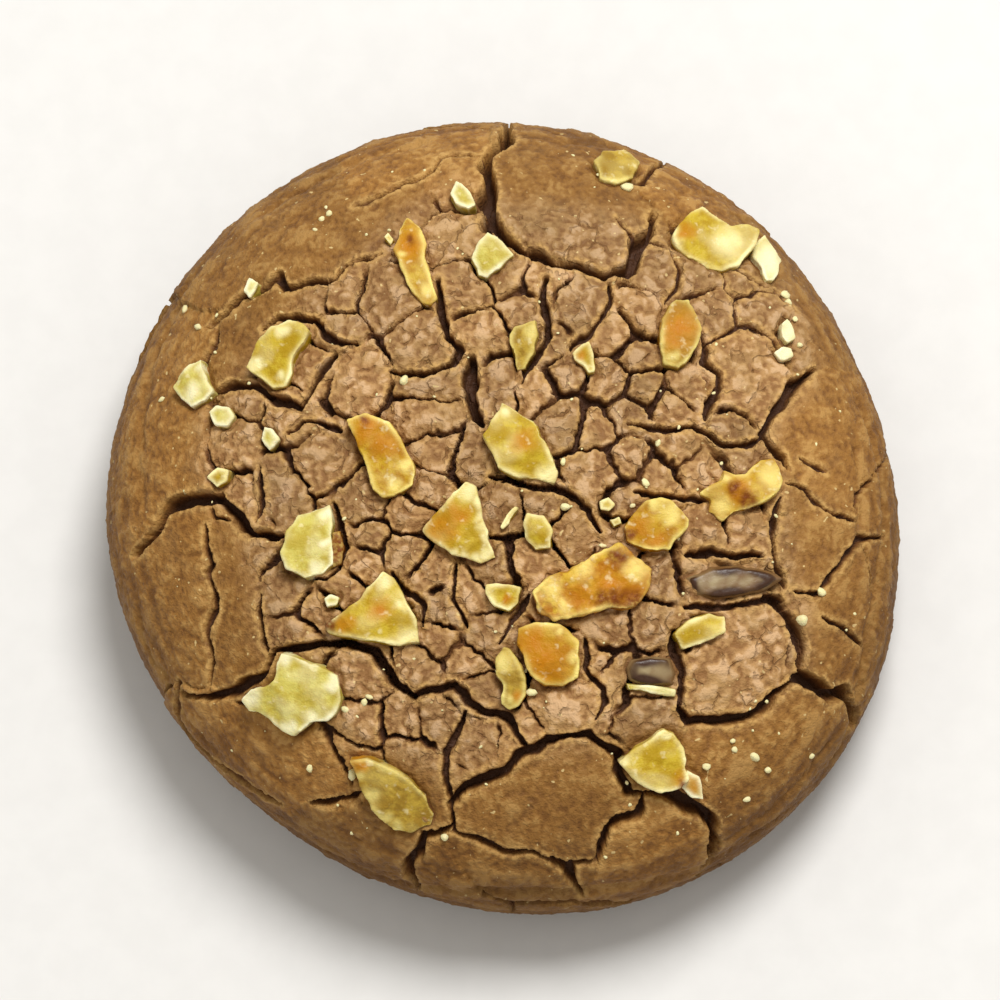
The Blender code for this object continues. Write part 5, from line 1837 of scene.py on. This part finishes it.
@dataclass
class Crust:
    """The baked crust, with every plate and crack as relief.

    It starts as a ball. The edge of the base lies where the ball has edge_tilt, so that the base, which has
    no cracks, takes few of its vertices. The zones end at zone_radii, and at the edge of the base.
    """

    form: CookieForm
    network: CrackNetwork
    ball_subdivisions: int = 9
    edge_tilt: float = math.radians(126)
    pole_gap: float = 0.001
    base_level: float = 0.02
    triangles: int = 740_000
    zone_radii: tuple[float, ...] = (12.5, 18.0, 23.5, 29.8)
    finish: CrustFinish = CrustFinish()

    def build(self) -> list[bpy.types.Object]:
        """Makes the crust and gives it its finish.

        The relief is far too fine and irregular for edit-mode tools, so the ball's vertices are moved in code.

        Returns:
            One part for each zone.
        """
        deselect_all()
        bpy.ops.mesh.primitive_ico_sphere_add(subdivisions=self.ball_subdivisions, radius=1)
        ball = bpy.context.object
        self.wrap(ball.data)
        apply(ball, "DECIMATE", ratio=self.triangles / len(ball.data.polygons), use_collapse_triangulate=True)
        bpy.ops.object.shade_smooth()
        ball.data.materials.append(self.finish.material())
        return self.divide(ball)

    def wrap(self, mesh: bpy.types.Mesh) -> None:
        """Wraps the ball on the cookie, raises its relief, and marks the crust's cracks, lips and tones.

        Args:
            mesh: The ball's mesh, which ends in metres.
        """
        x, y, z = mesh_points(mesh).T
        angle = np.arctan2(y, x)
        tilt = np.clip(np.arctan2(np.hypot(x, y), z), self.pole_gap, math.pi - self.pole_gap)
        spread = self.form.edge_spread * np.tan(tilt / 2) / math.tan(self.edge_tilt / 2)
        points = self.form.points(angle, spread)
        rows = np.flatnonzero(points[:, 2] > self.base_level)
        LOG.info("crust: %d of %d vertices get relief", len(rows), len(points))
        detail = self.network.detail(points[rows], angle[rows], spread[rows])
        points[rows] += self.form.normals(angle[rows], spread[rows]) * detail.rise[:, None]
        rise, pores = Underside(self.form).relief(points, spread)
        points[:, 2] += rise
        # Pores are marked as crack and as low grain, so the finish paints shade into them.
        for name, rest in (("crack", pores), ("lip", 0.0), ("tone", 0.5), ("high", 0.5 - pores), ("at_rim", 1.0)):
            values = np.zeros(len(points)) + rest
            values[rows] = getattr(detail, name)
            mark(mesh, name, values)
        mark(mesh, "spread", spread)
        move_points(mesh, points * MM)

    def divide(self, whole: bpy.types.Object) -> list[bpy.types.Object]:
        """Divides the crust by zone, and keeps its shading whole over the divisions.

        Args:
            whole: The whole crust.

        Returns:
            One part for each zone, named after it.
        """
        normals = whole.data.attributes.new("smooth_normal", "FLOAT_VECTOR", "POINT")
        normals.data.foreach_set("vector", mesh_normals(whole.data).ravel())
        parts = [whole]
        bpy.context.tool_settings.mesh_select_mode = (False, False, True)
        for bound in (*self.form.spread_at(np.array(self.zone_radii)), self.form.edge_spread):
            parts.append(self.split_off(parts[-1], bound))
        for zone, piece in zip(CrustZone, parts):
            piece.name = piece.data.name = zone.value
            rows = np.empty(len(piece.data.vertices) * 3)
            piece.data.attributes["smooth_normal"].data.foreach_get("vector", rows)
            piece.data.normals_split_custom_set_from_vertices(rows.reshape(-1, 3))
            for name in ("smooth_normal", "spread"):
                piece.data.attributes.remove(piece.data.attributes[name])
        return parts

    @staticmethod
    def split_off(piece: bpy.types.Object, bound: float) -> bpy.types.Object:
        """Makes a piece of its own of what lies outside a bound.

        Args:
            piece: The piece, which keeps the rest.
            bound: The spread where the new piece begins.

        Returns:
            The new piece.
        """
        mesh = piece.data
        vertex = np.empty(len(mesh.loops), dtype=np.int32)
        mesh.loops.foreach_get("vertex_index", vertex)
        outside = marks(mesh, "spread")[vertex].reshape(-1, 3).mean(axis=1) > bound
        take_up(piece)
        for others in (mesh.vertices, mesh.edges):
            others.foreach_set("select", np.zeros(len(others), dtype=bool))
        mesh.polygons.foreach_set("select", outside)
        bpy.ops.object.mode_set(mode="EDIT")
        bpy.ops.mesh.separate(type="SELECTED")
        bpy.ops.object.mode_set(mode="OBJECT")
        return next(other for other in bpy.context.selected_objects if other is not piece)


@dataclass
class Studio:
    """A pale floor, soft light and the photograph's point of view."""

    form: CookieForm
    floor_size: float = 3.0
    lens: float = 420.0
    frame_share: float = 0.80
    aim_height: float = 0.6
    clip: Spot = (0.01, 10.0)
    key_azimuth: float = math.radians(58)
    key_elevation: float = math.radians(64)
    key_distance: float = 0.7
    key_size: float = 0.30
    key_power: float = 4.3
    sky: float = 0.55
    sky_colour: Colour = (1.0, 0.98, 0.94)

    def build(self) -> None:
        """Sets up floor, lights, world and camera."""
        self.lay_floor()
        self.light()
        self.aim_camera()
        bpy.context.scene.view_settings.view_transform = "Standard"

    def lay_floor(self) -> None:
        """Lays the floor under the cookie."""
        deselect_all()
        bpy.ops.mesh.primitive_plane_add(size=self.floor_size)
        floor = bpy.context.object
        floor.name = floor.data.name = "floor"
        floor.data.materials.append(FloorFinish().material())

    def light(self) -> None:
        """Hangs a soft key light over the cookie's far side, and lights the room evenly."""
        world = bpy.data.worlds.new("studio")
        world.use_nodes = True
        background = world.node_tree.nodes["Background"]
        background.inputs["Color"].default_value = (*self.sky_colour, 1)
        background.inputs["Strength"].default_value = self.sky
        bpy.context.scene.world = world
        turn, rise = self.key_azimuth, self.key_elevation
        towards = Vector((math.cos(rise) * math.cos(turn), math.cos(rise) * math.sin(turn), math.sin(rise)))
        bpy.ops.object.light_add(type="AREA", location=towards * self.key_distance)
        key = bpy.context.object
        key.name = "key_light"
        key.rotation_mode = "QUATERNION"
        key.rotation_quaternion = towards.to_track_quat("Z", "Y")
        key.data.shape = "DISK"
        key.data.size = self.key_size
        key.data.energy = self.key_power

    def aim_camera(self) -> None:
        """Looks at the cookie as the photograph does."""
        right, up, back = self.form.view_axes()
        camera = bpy.data.cameras.new("camera")
        camera.lens = self.lens
        camera.clip_start, camera.clip_end = self.clip
        viewer = bpy.data.objects.new("camera", camera)
        bpy.context.scene.collection.objects.link(viewer)
        wide = self.form.diameter * MM / self.frame_share
        distance = wide / 2 / math.tan(math.atan(camera.sensor_width / 2 / self.lens))
        target = Vector((0, 0, self.aim_height * self.form.height * MM))
        viewer.matrix_world = Matrix((*zip(right, up, back, target + back * distance), (0, 0, 0, 1)))
        bpy.context.scene.camera = viewer


def main() -> None:
    """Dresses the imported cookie."""
    logging.basicConfig(level=logging.INFO, format="%(message)s")
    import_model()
    noise.seed_set(SEED)
    form = CookieForm()
    carver = Carver(form)
    network = CrackNetwork(form, sockets=[form.plane(carver.foot(bit)) for bit in (*WALNUT_BITS, *CHIP_BITS)])
    stages = (
        Crust(form, network),
        WalnutTopping(carver),
        CocoaChips(Carver(form, top_share=0.8, cuts=(), smoothing=5, slope=0.05, edge_width=0.55)),
        Crumbs(form),
    )
    for stage in stages:
        for piece in stage.build():
            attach(piece, "root")
            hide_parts(COOKIE_NODE)
            LOG.info("%s: %d faces", piece.name, len(piece.data.polygons))
    Studio(form).build()
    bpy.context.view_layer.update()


if __name__ == "__main__":
    main()
